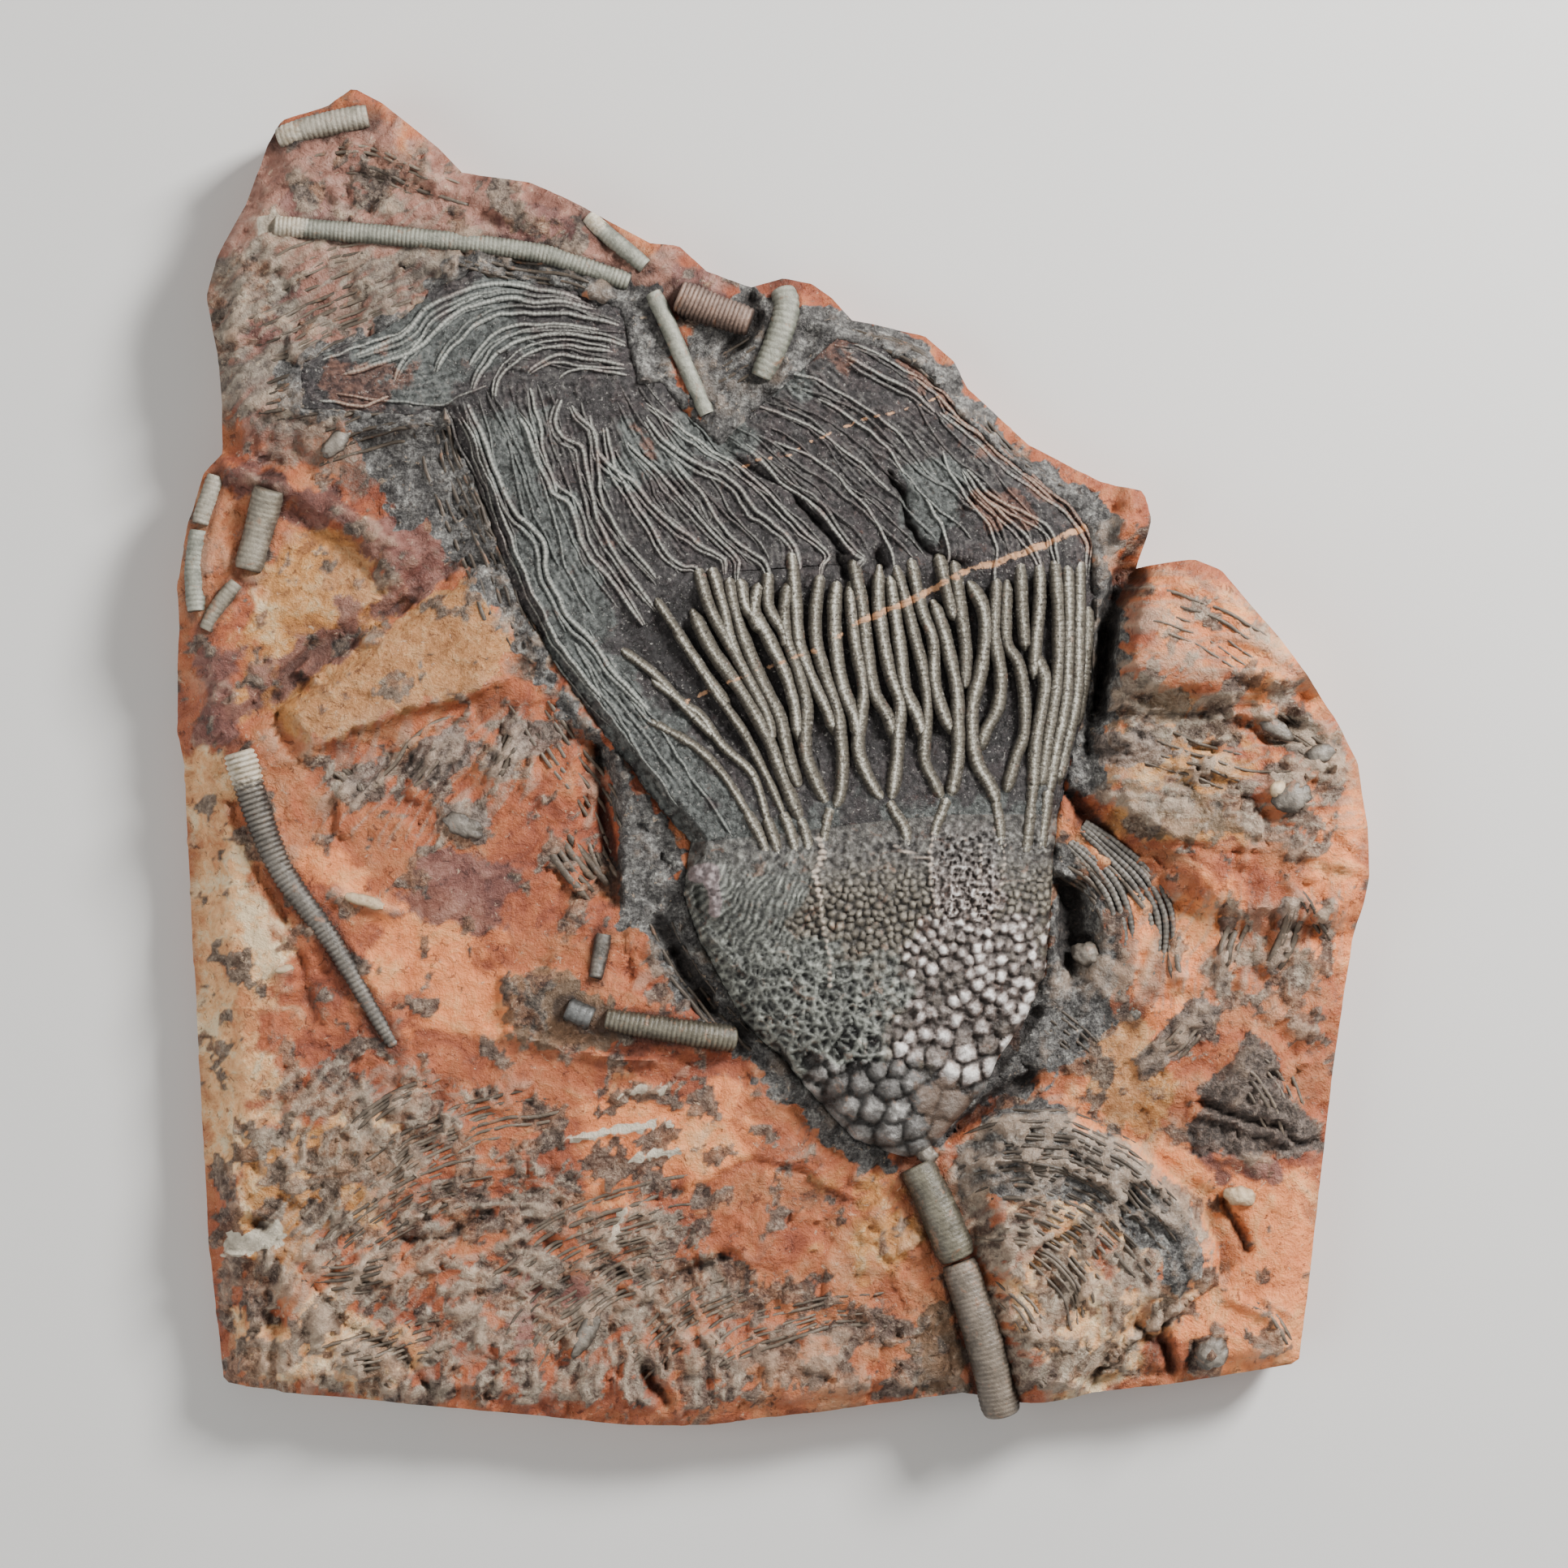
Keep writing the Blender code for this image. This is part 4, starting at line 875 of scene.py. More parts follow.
def rock_relief(x, y):
    """The broken surface over the plain face, with what its material needs to know."""
    warp_x = x + 0.9 * layers(x, y, 6.0, 3, 41)
    warp_y = y + 0.9 * layers(x, y, 6.0, 3, 43)
    relief = np.zeros(len(x))
    for drop, line in LEDGES:
        side = side_of_line(warp_x, warp_y, line)
        step = eased(side / 0.9 + 0.5) - 0.5
        relief += drop * step * np.exp(-np.abs(side) / 6.0)
    for height, width, line in RIDGES:
        away = distance_to_line(x + 0.3 * (warp_x - x), y + 0.3 * (warp_y - y), line)
        relief += height * np.exp(-(away / width) ** 2)
    # The hollows are sunk here, and this mask paints them dark as shade.
    shaded_hollow = np.zeros(len(x))
    for depth, outline in HOLLOWS:
        inside = eased(depth_in(x + 0.5 * (warp_x - x), y + 0.5 * (warp_y - y), outline) / 1.5 + 0.4)
        relief -= depth * inside * (0.75 + 0.5 * layers(x, y, 3.5, 3, 33))
        shaded_hollow = np.maximum(shaded_hollow, inside)
    smooth = over_patches(x, y, SMOOTH_GROUND, 5.0, 71)
    rough = 1 - 0.8 * smooth
    scraps = scrap_share(x, y)
    threads, thread_share = fibre_relief(x, y)
    relief += rough * (0.8 * chips(x, y, 8.0, 0.1, 5) + 0.9 * chips(x, y, 3.2, 0.17, 6))
    relief += 0.4 * layers(x, y, 19.0, 3, 21, 0.5)
    relief += scraps * (0.25 + 0.5 * threads * thread_share)
    relief += (0.12 + 0.5 * scraps) * np.maximum(layers(x, y, 1.9, 2, 31), -0.5)
    relief += 0.3 * rough * thread_share * threads * (1 - scraps)
    return relief, smooth, scraps, threads * thread_share, shaded_hollow


def column_paths():
    """Each column's middle line in space and its radius along it, as its solid has them."""
    found = {}
    for name, (route, diameters, _, _, _) in COLUMNS.items():
        count = max(round(route_length(route) / 1.2), 8)
        flat = smooth_route(route, count)
        radii = np.linspace(diameters[0], diameters[1], count) / 2
        in_crown = depth_in(flat[:, 0], flat[:, 1], CROWN_OUTLINE) > 0
        ground = np.where(in_crown, full_crown(*flat.T), plain_face(*flat.T))
        heights = ground + radii * COLUMN_SUNK
        for _ in range(count):
            heights[1:-1] = (heights[:-2] + 2 * heights[1:-1] + heights[2:]) / 4
        found[name] = np.column_stack([flat, heights - 0.25]), radii
    return found


COLUMN_PATHS = column_paths()
GROUND, GROUND_HEIGHTS = kdtree.KDTree(MOST_PLACES), []


def ground_under(x, y):
    """The finished rock's height under a row of places, smoothed along the row."""
    height = np.array([GROUND_HEIGHTS[GROUND.find((a, b, 0))[1]] for a, b in zip(x, y)])
    for _ in range(4):
        height[1:-1] = (height[:-2] + 2 * height[1:-1] + height[2:]) / 4
    return height


def make_slab():
    slab = trimmed_sheet("slab", SLAB_OUTLINE, 0.69)
    x, y, _ = places_of(slab).T
    relief, smooth, scraps, threads, shaded_hollow = rock_relief(x, y)
    mat = patch_share(x, y, "mat")
    edge = depth_in(x, y, SLAB_OUTLINE)
    relief *= 0.3 + 0.7 * eased(edge / 2.5)
    in_crown = depth_in(x, y, CROWN_OUTLINE)
    under_crown = eased(in_crown / 1.6 + 0.2)
    by_crown = eased(1 + in_crown / 5.0) * (shaded_hollow < 0.2) * mat
    height = plain_face(x, y) + relief * (1 - under_crown) - 1.5 * under_crown
    height += by_crown * (1 - under_crown) * (0.9 + 0.3 * layers(x, y, 2.0, 2, 190))
    shade_by_columns = np.zeros(len(x))
    for places, radii in COLUMN_PATHS.values():
        away = distance_to_line(x, y, [tuple(p) for p in places[:, :2]]) - radii.mean()
        near = np.exp(-(np.maximum(away + 0.3, 0) / 1.3) ** 2) * (1 - under_crown)
        height += 0.55 * near * (0.6 + lumps(x, y, 3.0, 191)) - 0.4 * near * relief
        shade_by_columns = np.maximum(shade_by_columns, np.exp(-(np.maximum(away, 0) / 0.7) ** 2))
    over = np.maximum(height - (TALLEST - SOFT_TOP), 0)
    height = height - over + SOFT_TOP * (1 - np.exp(-over / SOFT_TOP))
    put_places(slab, np.column_stack([x, y, height]))
    for a, b, c in zip(x, y, height):
        GROUND.insert((a, b, 0), len(GROUND_HEIGHTS))
        GROUND_HEIGHTS.append(c)
    GROUND.balance()
    # Painted shade: the rock is darker in its grooves and hollows and beside the columns.
    painted_shade = np.maximum(-relief / 2.2, 0.0) + 0.9 * shaded_hollow + 0.6 * shade_by_columns
    add_share(slab, "shaded_hollow", painted_shade * (1 - under_crown))
    # Painted highlight: raised rock is painted paler, the higher it stands.
    add_share(slab, "rise_highlight", relief / 1.8)
    add_share(slab, "smooth", smooth)
    add_share(slab, "scraps", scraps)
    add_share(slab, "threads", threads)
    for name in PATCHES:
        share = patch_share(x, y, name)
        if name == "green":
            share = share * (0.6 + 0.6 * threads)
        add_share(slab, name, share)

    def rough_wall(share, inset, seed):
        def place(rim):
            out = rim[:, :2] / np.linalg.norm(rim[:, :2], axis=1)[:, None]
            x, y = rim[:, :2].T
            push = 0.5 * layers(x + 9 * share, y - 7 * share, 5.0, 3, seed) - inset
            moved = rim.copy()
            moved[:, :2] += out * np.minimum(push, 0.2)[:, None]
            moved[:, 2] = rim[:, 2] * share + 0.4 * lumps(x, y, 4.0, seed + 5) * (share > 0.05)
            return moved
        return place

    for share, inset, seed in ((0.93, 0.0, 51), (0.85, -0.1, 52), (0.84, 0.0, 53), (0.8, 0.15, 54),
                               (0.72, 0.3, 55), (0.6, 0.45, 56), (0.0, 0.5, 57)):
        draw_rim(slab, rough_wall(share, inset, seed))
    close_back(slab)
    near_face = eased(places_of(slab)[:, 2] / 9 - 0.2)
    for name in PATCHES:
        add_share(slab, name, near_face * share_of(slab, name))
    return slab


# --- The crown --------------------------------------------------------------------------------

# Arms: the middle line of each, from its tip down to where it joins its neighbour.
ARM_LINES = [
    [(-13.5, 25.8), (-9.9, 18.6), (-4.7, 11.4), (-0.1, 3.2), (3, -5), (6, -12)],
    [(-12.4, 33.5), (-10.4, 26.3), (-7.3, 20.6), (-4, 14.5), (-0.1, 6.8), (0.6, 2)],
    [(-9.6, 32.4), (-7.8, 25.8), (-7, 21.7), (-5.2, 17)],
    [(-7.6, 33), (-6, 25.8), (-4, 19.6), (-1.2, 13), (1.9, 6.8), (3.5, -0.4), (5.5, -6)],
    [(-5.5, 32.4), (-4, 26.3), (-1.7, 23.7), (0.9, 18.6), (2.9, 14.5), (4.5, 8.8), (5.2, 3)],
    [(-2.2, 30.9), (-2.7, 25.3), (-1.4, 22)],
    [(3.2, 31.9), (2.7, 25.8), (3.2, 20.6), (5, 15.5), (6.5, 9.4), (6.3, 4.2), (6.5, 0), (8.5, -5),
        (10.5, -9)],
    [(0.4, 31.4), (-0.1, 26.3), (2.4, 22.2), (3, 19)],
    [(5.5, 34), (4.7, 25.8), (5.3, 19.6), (7.6, 13.5), (10.1, 8.3), (11.6, 4)],
    [(9.1, 33), (8.1, 25.8), (8.3, 19.6), (10.1, 13.5), (11.9, 8.3), (12.5, 3.2), (12.8, 0),
        (12.5, -6), (11, -10)],
    [(12.2, 30.4), (11.4, 25.8), (11.7, 18.6), (12.9, 11.9), (15, 6.8), (15.6, 3)],
    [(14.2, 30.4), (14.5, 24.7), (15.3, 18.6), (16.5, 12.4), (16, 7), (15.6, 1), (18, -5),
        (20.5, -8)],
    [(15.3, 34), (16.3, 25.8), (17.1, 18.6), (18.3, 11.4), (20.9, 6.8), (21.9, 3)],
    [(19.9, 32.4), (19.1, 27.3), (19.9, 20.6), (21.2, 14.5), (22.9, 9.4), (22.5, 5), (22.3, 0),
        (21.5, -6), (21, -8.5)],
    [(20.9, 32.4), (21.9, 25.8), (22.9, 18.6), (23.7, 11.9), (26, 6.8), (26.8, 3)],
    [(21.9, 34.5), (24, 26.8), (25.5, 20.6), (27, 14.5), (27.6, 8.3), (27, 0), (28.6, -4),
        (30.5, -8)],
    [(25.5, 34), (26.5, 26.3), (28.6, 20.6), (28.8, 13.5), (30.1, 8.3), (32, 4)],
    [(28.6, 27.3), (30.1, 23.2), (31.4, 18.1), (32.7, 11.9), (32.9, 6.8), (32.9, 0), (31.5, -7.5)],
    [(35, 30.4), (37.3, 26.3), (37.8, 21.2), (36.8, 14.5), (35.5, 9.4), (35.4, 4), (36.2, -1),
        (38.5, -5), (40, -9)],
    [(39.4, 32), (39.4, 21.2), (40.4, 14.5), (39.9, 8.8), (37.6, 4.2), (36.8, 1)],
    [(41.7, 31), (41.4, 20.6), (43.5, 16.5), (44.5, 10.9), (44.5, 4.2), (43, 0), (41, -7)],
    [(47.6, 34), (47.3, 27.8), (46.6, 20), (46.2, 14)],
    [(46.4, 18), (48.2, 13.5), (47.6, 8.3), (46.5, 2.2), (46, -6)],
    [(50.6, 34.5), (50.6, 25.8), (50.6, 17.6), (49.9, 10.4), (48.6, 3.2), (47.3, -6)],
    [(52.7, 34), (52.4, 25.8), (52.2, 16), (51.7, 9.4), (50.1, 1.7), (48.6, -7)],
    [(55.5, 33.5), (54.2, 25.8), (54, 16), (53.7, 10.4), (52.2, 3.2), (50.3, -5)],
    [(55.8, 26.3), (55.6, 18.6), (54.8, 11.4), (53.4, 5.3)],
    [(33, 33), (33.4, 26), (34.3, 19), (34.2, 12)],
    [(44.3, 33.5), (44.2, 26), (44.8, 19)],
    [(30.4, 34), (31.4, 28), (32.4, 24)],
    [(-17, 23), (-13, 17), (-9.4, 11.4), (-4.7, 4.7), (-2.2, 0.1), (0.4, -5), (3, -11)],
    [(-21, 14), (-15, 9.4), (-11.9, 7.3), (-8.3, 2.2), (-3.7, -2), (-2, -5), (0, -12)],
    [(-22, 7), (-15, 3.2), (-11.4, 0.6), (-7.3, -4), (-3, -11)],
    [(-20, 28), (-16, 22), (-12, 16), (-7, 9)],
    [(-26, 19), (-20, 14.5), (-14, 8), (-9, 3)],
    [(10.9, -8.6), (10.1, -11), (9.2, -17)],
    [(20.8, -7.4), (21.8, -9.4), (23.6, -12.4), (24.4, -17)],
    [(31.1, -7), (30, -9.8), (29, -12.4), (28.4, -17)],
    [(39.4, -7.4), (40.2, -12), (40.6, -17.6)],
    [(46, -4.5), (45.4, -11), (44.6, -17)],
    [(48.6, -5.5), (48, -11), (47.2, -16.6)],
    [(2.3, -9.4), (3.2, -11.5), (4.2, -14.6), (5.2, -18.6)],
    [(-0.5, -10.4), (0.3, -12.6), (1.2, -15.2), (2.2, -18.6)],
    [(-4, -9.4), (-2.8, -11.4), (-1.4, -14), (0, -18)],
    [(5.3, -10.4), (6.1, -12.4), (6.8, -15), (7.4, -18.6)],
]
# Strands that stand up over the plume's fine mat, from tip to root, with a radius.
PLUME_LINES = [
    (0.75, [(-53.8, 64.8), (-52.3, 60.7), (-49.7, 55.5), (-47.7, 49.4), (-45.1, 43.7), (-42, 40.6),
        (-39.7, 37.5), (-38.9, 32.9), (-36, 26), (-31.5, 21), (-27, 15), (-20, 7)]),
    (0.6, [(-55, 62), (-53.8, 59.6), (-51.3, 55.5), (-50.2, 50.9), (-47.7, 45.3), (-46.1, 40.6),
        (-43, 33), (-39, 24), (-34, 16), (-28, 9)]),
    (0.6, [(-42, 65.3), (-41, 60.7), (-40, 58.1), (-39.4, 53.5), (-37.9, 49.4), (-37.2, 46)]),
    (0.7, [(-45.1, 61), (-42.5, 57.6), (-41, 53), (-38.9, 48.8), (-37.9, 46.3), (-35.3, 44.7),
        (-33.8, 41.7), (-32.3, 37), (-29.2, 32.4), (-26, 28.5), (-22, 23)]),
    (0.7, [(-35.8, 64), (-37.4, 59.1), (-36.4, 56.6), (-33.3, 54.5), (-32, 50.9), (-30.7, 45.3),
        (-29.7, 40.6), (-27.1, 36), (-24, 31.4), (-20, 26)]),
    (0.7, [(-35.3, 63), (-33.3, 59.6), (-30.7, 57.1), (-30.2, 53.5), (-27.1, 50.4), (-22.5, 46.8),
        (-18.9, 42.7), (-15.8, 39.6), (-12, 37), (-8, 34.8)]),
    (0.65, [(-31.6, 61), (-30.4, 54.5), (-29.7, 49.4), (-29.2, 44.7), (-26.6, 39.6), (-23, 35.5),
        (-19.4, 30.9)]),
    (0.6, [(-28.7, 59), (-27.1, 50.9), (-24, 45.3), (-20.9, 41.1), (-18.4, 36.5), (-15, 33.4)]),
    (0.7, [(-22, 60.5), (-19.9, 57.1), (-16.3, 54), (-11.7, 50.9), (-7.6, 48.9), (-4.5, 46.3),
        (-2.4, 43.2), (0.6, 41.1), (4, 37.6)]),
    (0.6, [(-18, 53), (-13.8, 48.3), (-10.2, 43.7), (-7.1, 39.6), (-3.5, 36), (-0.9, 34)]),
    (0.65, [(-5, 55), (-0.9, 51.4), (2.2, 47.8), (6.3, 45.3), (10.4, 41.1), (14.5, 36),
        (16.6, 34.6)]),
    (0.55, [(-26, 56), (-21, 51.5), (-15, 45), (-10, 39.6), (-5.5, 34.6)]),
    (0.55, [(-23, 63), (-16, 58), (-9, 53.4), (-3, 49), (2, 43.6), (7, 38.8), (10.5, 35.4)]),
    (0.55, [(34, 51), (36, 47), (40, 43), (43.6, 40), (46, 37)]),
    (0.55, [(33.6, 51.6), (38, 46.6), (44, 43), (47.6, 41), (50, 38.4)]),
    (0.6, [(29, 61), (34, 57), (40, 51.5), (46, 47), (52, 42.5), (55.4, 37.6)]),
    (0.55, [(24, 67.6), (30, 62.6), (37, 56), (44, 50), (50, 45)]),
    (0.6, [(13, 70.4), (19, 67.6), (25, 64), (29.4, 60)]),
    (0.5, [(15, 72.4), (21, 70), (26.4, 66.4)]),
    (0.5, [(2, 68), (8, 66), (15, 62), (21, 58), (25.6, 53)]),
    (0.5, [(-3, 62), (4, 59.4), (11, 55.4), (17, 50.6), (22, 45.6)]),
    (0.5, [(0, 55.6), (7, 52.6), (13.4, 47.6), (18, 42.6), (20.4, 38)]),
    (0.5, [(8, 63), (14, 59.6), (20, 54.6), (24, 49)]),
    (0.5, [(30, 55), (32, 49), (36, 43.6), (39, 38.6), (40, 35.4)]),
    (0.5, [(27, 46), (29.6, 41.4), (31, 37), (31.6, 34.6)]),
    (0.8, [(-29, 79), (-33, 80.2), (-38, 81.6), (-44, 82.6), (-48.7, 83), (-54.9, 81.3), (-59, 79),
        (-62, 75.8), (-65.1, 73.3), (-69.7, 71.2), (-75.4, 69.4), (-80.6, 67.1)]),
    (0.75, [(-27, 77.4), (-32, 78.8), (-38, 79.8), (-45.6, 80.2), (-50.8, 79.4), (-55.4, 77.2),
        (-58.5, 74.6), (-61.5, 72), (-66, 69.4), (-72, 67.6), (-78, 66.4)]),
    (0.65, [(-25.6, 75.6), (-31, 76.8), (-38, 77.8), (-43, 77.8), (-49, 76.4), (-54.6, 72.6),
        (-58, 68), (-60, 61.6)]),
    (0.6, [(-24.8, 73.8), (-30, 74.8), (-38, 76), (-44, 75.2), (-49.6, 72.4), (-53, 67.6),
        (-55, 62)]),
    (0.65, [(-24.4, 72), (-29, 73), (-37, 74.2), (-42, 73.4), (-47, 71), (-50.4, 67.4),
        (-52, 63.6)]),
    (0.55, [(-24, 70.2), (-29, 71.2), (-36, 72), (-41, 71.4), (-45, 69), (-47.4, 65.4), (-48, 62)]),
    (0.6, [(-23.8, 68.4), (-28.6, 69.2), (-36, 70.2), (-40, 69.4), (-42.6, 66.6), (-43.4, 63)]),
    (0.5, [(-23.4, 66.8), (-28, 67.3), (-33, 68), (-36.4, 66.8), (-37.6, 64)]),
    (0.6, [(-46, 81.4), (-50, 81), (-57, 77.6), (-62, 72.6), (-65, 67.6), (-66.6, 61.6)]),
    (0.5, [(-60, 77.6), (-66, 73.6), (-73, 71.6), (-79.6, 69)]),
    (0.5, [(-66, 63.4), (-72, 61.6), (-79, 62.4)]),
]
CROWN_STAINS = {  # colour: how soft its edge is, and the patches that have it
    "rust": (4.0, [
        [(22, 71), (34, 63), (50, 51), (57, 42), (58, 35), (54, 38), (46, 46.5), (31, 59)],
        [(38, 40), (46, 42), (43, 48), (36, 46)],
        [(-24, 53), (-21, 53), (-21, 56), (-24, 56)],
        [(4, 80), (15, 80), (14, 70), (5, 71)],
        [(9, -14), (13, -14), (13, -22), (8, -22)],
        [(-78, 69), (-66, 71.5), (-63, 68.5), (-67, 64), (-72, 60.6), (-77, 62)],
    ]),
    "green": (6.0, [
        [(-50, 61), (-42, 64), (-36, 44), (-27, 26), (-24, 12), (-32, 8), (-40, 20), (-47, 38)],
        [(-30, 4), (-18, -10), (-8, -6), (-14, 6), (-26, 14)],
        [(23.5, 38), (31, 37), (31, 52), (24, 50)],
        [(-8, 62), (4, 64), (6, 80), (-2, 78), (-6, 70)],
        [(-14, 62), (-4, 60), (0, 54), (-8, 52), (-14, 56)],
        [(-80, 71), (-60, 79), (-46, 86), (-42, 72), (-58, 63), (-72, 62)],
        [(-28, 56), (-16, 58), (-14, 50), (-26, 48)],
        [(-16, -6), (0, -10), (30, -8), (50, -6), (51, -16), (-16, -20)],
    ]),
}
CROWN_CRACKS = [
    (1.9, 0.6, [(21, 49.5), (23.5, 46), (24.2, 41), (26.4, 38), (28, 36)]),
    (1.5, 0.9, [(5, 45), (9, 41), (13, 36)]),
    (2.2, 1.2, [(12.2, 34.8), (13.6, 32.4)]),
    (2.2, 1.1, [(19, 35.4), (19.4, 33.6)]),
    (1.5, 1.0, [(26.6, 37), (30, 34.6), (34, 33.4)]),
    (0.8, 0.6, [(29.5, 36), (31, 41), (36, 45)]),
    (0.7, 0.6, [(-6, 52), (2, 48), (8, 44)]),
    (0.9, 0.8, [(-52, 46), (-48, 34), (-44, 24)]),
]


def crown_cracks(x, y):
    depth = np.zeros(np.shape(x))
    for drop, width, line in CROWN_CRACKS:
        away = distance_to_line(x + 0.4 * lumps(x, y, 2.0, 3), y, line)
        depth = np.maximum(depth, drop * np.exp(-(away / width) ** 2))
    return depth


ARMS_ZONE = (ARM_EDGES[1] + [edge[-1] for edge in ARM_EDGES[2:]] + ARM_EDGES[-1][-2::-1]
             + [edge[0] for edge in ARM_EDGES[-2:1:-1]])


def crown_edge(x, y):
    """How much the crown's edge is lifted where its mat goes on over the rock."""
    inside = depth_in(x, y, CROWN_OUTLINE)
    softness, outlines = PATCHES["mat"]
    return 0.75 * over_patches(x, y, outlines, softness, 122) * (1 - eased(inside / 3.0))


def arm_gap(x, y):
    """How deep the mat lies between the arms; it comes up at their feet and tips."""
    inside = depth_in(x, y, ARMS_ZONE) + 1.2 * lumps(x, y, 5.0, 68)
    return 0.95 * eased((inside - 0.8) / 4.5) * eased((y + 4) / 9)


def mat_surface(x, y):
    """The crown's granular mat, and its grit."""
    grit = layers(x, y, 1.3, 2, 66, 0.8)
    gap = arm_gap(x, y)
    height = mat_height(x, y) - 0.2 - gap + crown_edge(x, y) - crown_cracks(x, y)
    height += (0.13 + 0.1 * gap) * grit
    height += 0.4 * lumps(x, y, 4.0, 63) * eased((y - 2) / 8) * (1 - 0.7 * np.minimum(gap, 1))
    return height - 0.1 * (1 - eased(depth_in(x, y, CROWN_OUTLINE) / 1.0)), grit


def add_crown_shares(piece):
    x, y, _ = places_of(piece).T
    for n, (name, (softness, outlines)) in enumerate(CROWN_STAINS.items()):
        add_share(piece, name, over_patches(x, y, outlines, softness, 140 + 7 * n))
    vein = np.zeros(len(x))
    for width, line in VEINS:
        away = distance_to_line(x, y + 0.45 * layers(x, y, 3.0, 2, 9), line)
        whole = eased(max(0.5 + 5 * (width - 0.45), 0.35) + 1.3 * lumps(x, y, 1.5, 10))
        vein = np.maximum(vein, whole * np.exp(-(away / width) ** 2))
    add_share(piece, "vein", vein)


def make_mat(name, first, second):
    """The mat between two edges, with faint ridges that run with the strands."""
    in_plume = name.startswith("plume") or name == "arms_far_left"
    mat, shares = fan_sheet(name + "_mat", first, second, 0.24 if in_plume else 0.3)
    x, y, _ = places_of(mat).T
    height, grit = mat_surface(x, y)
    from_edge = distance_to_line(x, y, list(map(tuple, smooth_route(first, 24))))
    wander = 1.2 * lumps(x, y, 9.0, 61) + 0.3 * lumps(x, y, 2.5, 62)
    ridges = 0.5 + 0.5 * np.cos(math.tau * (from_edge + wander) / 1.15)
    ridges *= eased(layers(x, y, 11.0, 2, 65) + 0.4) * in_plume
    ridges *= eased(np.minimum(shares.min(axis=1), 1 - shares.max(axis=1)) / 0.03)
    put_places(mat, np.column_stack([x, y, height + 0.26 * ridges]))
    # Painted light: the mat is paler on its ridges and grit, and darker where it lies deep between the
    # arms, as shade.
    tone = 0.18 + 0.26 * ridges + 0.24 * grit - 0.2 * np.minimum(arm_gap(x, y), 1)
    add_share(mat, "lit_top_and_tone", np.clip(tone, 0.02, 0.5))
    # The mat is painted darker along its cracks, the deeper the darker: painted shade.
    add_share(mat, "joint", crown_cracks(x, y))
    close_below(mat)
    return mat


RING_MODELS = {}


def ring_model(sides, neck, length):
    """One ring or arm segment, lying along X, with a radius of 1 mm. It is modelled once."""
    if (sides, neck, length) in RING_MODELS:
        return RING_MODELS[sides, neck, length]
    ring, shares = new_grid("ring", 3, sides)
    turn = shares[:, 1] * math.tau
    near_end = np.abs(shares[:, 0] - 0.5) > 0.4
    radius = np.where(near_end, 1 - neck, 1.0)
    step = np.where(near_end, np.round(shares[:, 0]), 0.5 + 0.75 * (shares[:, 0] - 0.5))
    put_places(ring, np.column_stack([step * length, -radius * np.sin(turn),
                                      -radius * np.cos(turn)]))
    # Painted light: the ring is paler along its top and darker down its sides.
    add_share(ring, "lit_top_and_tone", 0.5 - 0.5 * np.cos(turn))
    add_share(ring, "crest", 1 - np.abs(turn - math.pi) / (0.5 * math.pi))
    add_share(ring, "joint", near_end)
    merge_close(ring, 1e-7)
    turn_faces_out(ring)
    RING_MODELS[sides, neck, length] = ring
    return ring


def ringed_rod(name, places, radii, sides, neck, length):
    """Rings in a row along a curve in space."""
    curve = bpy.data.curves.new(name + "_line", "CURVE")
    curve.dimensions = "3D"
    curve.twist_mode = "Z_UP"
    spline = curve.splines.new("POLY")
    spline.points.add(len(places) - 1)
    spline.points.foreach_set("co", np.column_stack([places * MM, np.ones(len(places))]).ravel())
    spline.points.foreach_set("radius", radii)
    line = bpy.data.objects.new(name + "_line", curve)
    bpy.context.collection.objects.link(line)
    count = max(round(route_length(places) / length), 2)
    only(ring_model(sides, neck, length))
    bpy.ops.object.duplicate(linked=False)
    rod = bpy.context.object
    rod.name = rod.data.name = name
    row = rod.modifiers.new("row", "ARRAY")
    row.count = count
    row.use_merge_vertices = True
    row.merge_threshold = 1e-6
    bend = rod.modifiers.new("bend", "CURVE")
    bend.object = line
    bend.deform_axis = "POS_X"
    bpy.ops.object.modifier_apply(modifier="row")
    bpy.ops.object.modifier_apply(modifier="bend")
    bpy.data.objects.remove(line)
    return rod


def strand(name, route, radius, sides, neck, length, in_plume, pale=1.0):
    """One arm or strand of small segments, half sunk in the mat."""
    count = max(round(route_length(route) / 0.9), 6)
    x, y = smooth_route(route, count).T
    if in_plume:
        bent = 0.55 * eased(np.linspace(0, 4, count)) * eased(np.linspace(4, 0, count))
        x, y = (x + bent * (lumps(x, y, 7.0, 71) + 0.4 * lumps(x, y, 2.6, 72)),
                y + bent * (lumps(x, y, 7.0, 73) + 0.4 * lumps(x, y, 2.6, 74)))
    along = np.linspace(0, 1, count)
    height = mat_height(x, y) + crown_edge(x, y)
    if in_plume:
        height = height + 0.4 * lumps(x, y, 4.0, 63) - 0.7 * crown_cracks(x, y) - 0.15
    else:
        height = height - 0.55 - 0.6 * eased((y - 29) / 8) - 0.3 * eased((-4 - y) / 6)
        height = height + 0.25 * lumps(x, y, 9.0, 69)
    ends = eased(along / (0.1 if in_plume else 0.06)) * eased((1 - along) / 0.06)
    height = height - (1.0 if in_plume else 0.8) * radius * (1 - ends)
    radii = radius * (0.55 + 0.45 * ends) * (1 + 0.12 * lumps(x, y, 3.0, 70))
    rod = ringed_rod(name, np.column_stack([x, y, height]), radii, sides, neck, length)
    # Painted light: the strand is pale along its crest and dark down its flanks; pale sets how bright
    # its crest is.
    add_share(rod, "lit_top_and_tone", 0.06 + pale * 0.94 * share_of(rod, "crest"))
    add_share(rod, "arm", np.full(len(rod.data.vertices), 0.0 if in_plume else 1.0))
    return rod


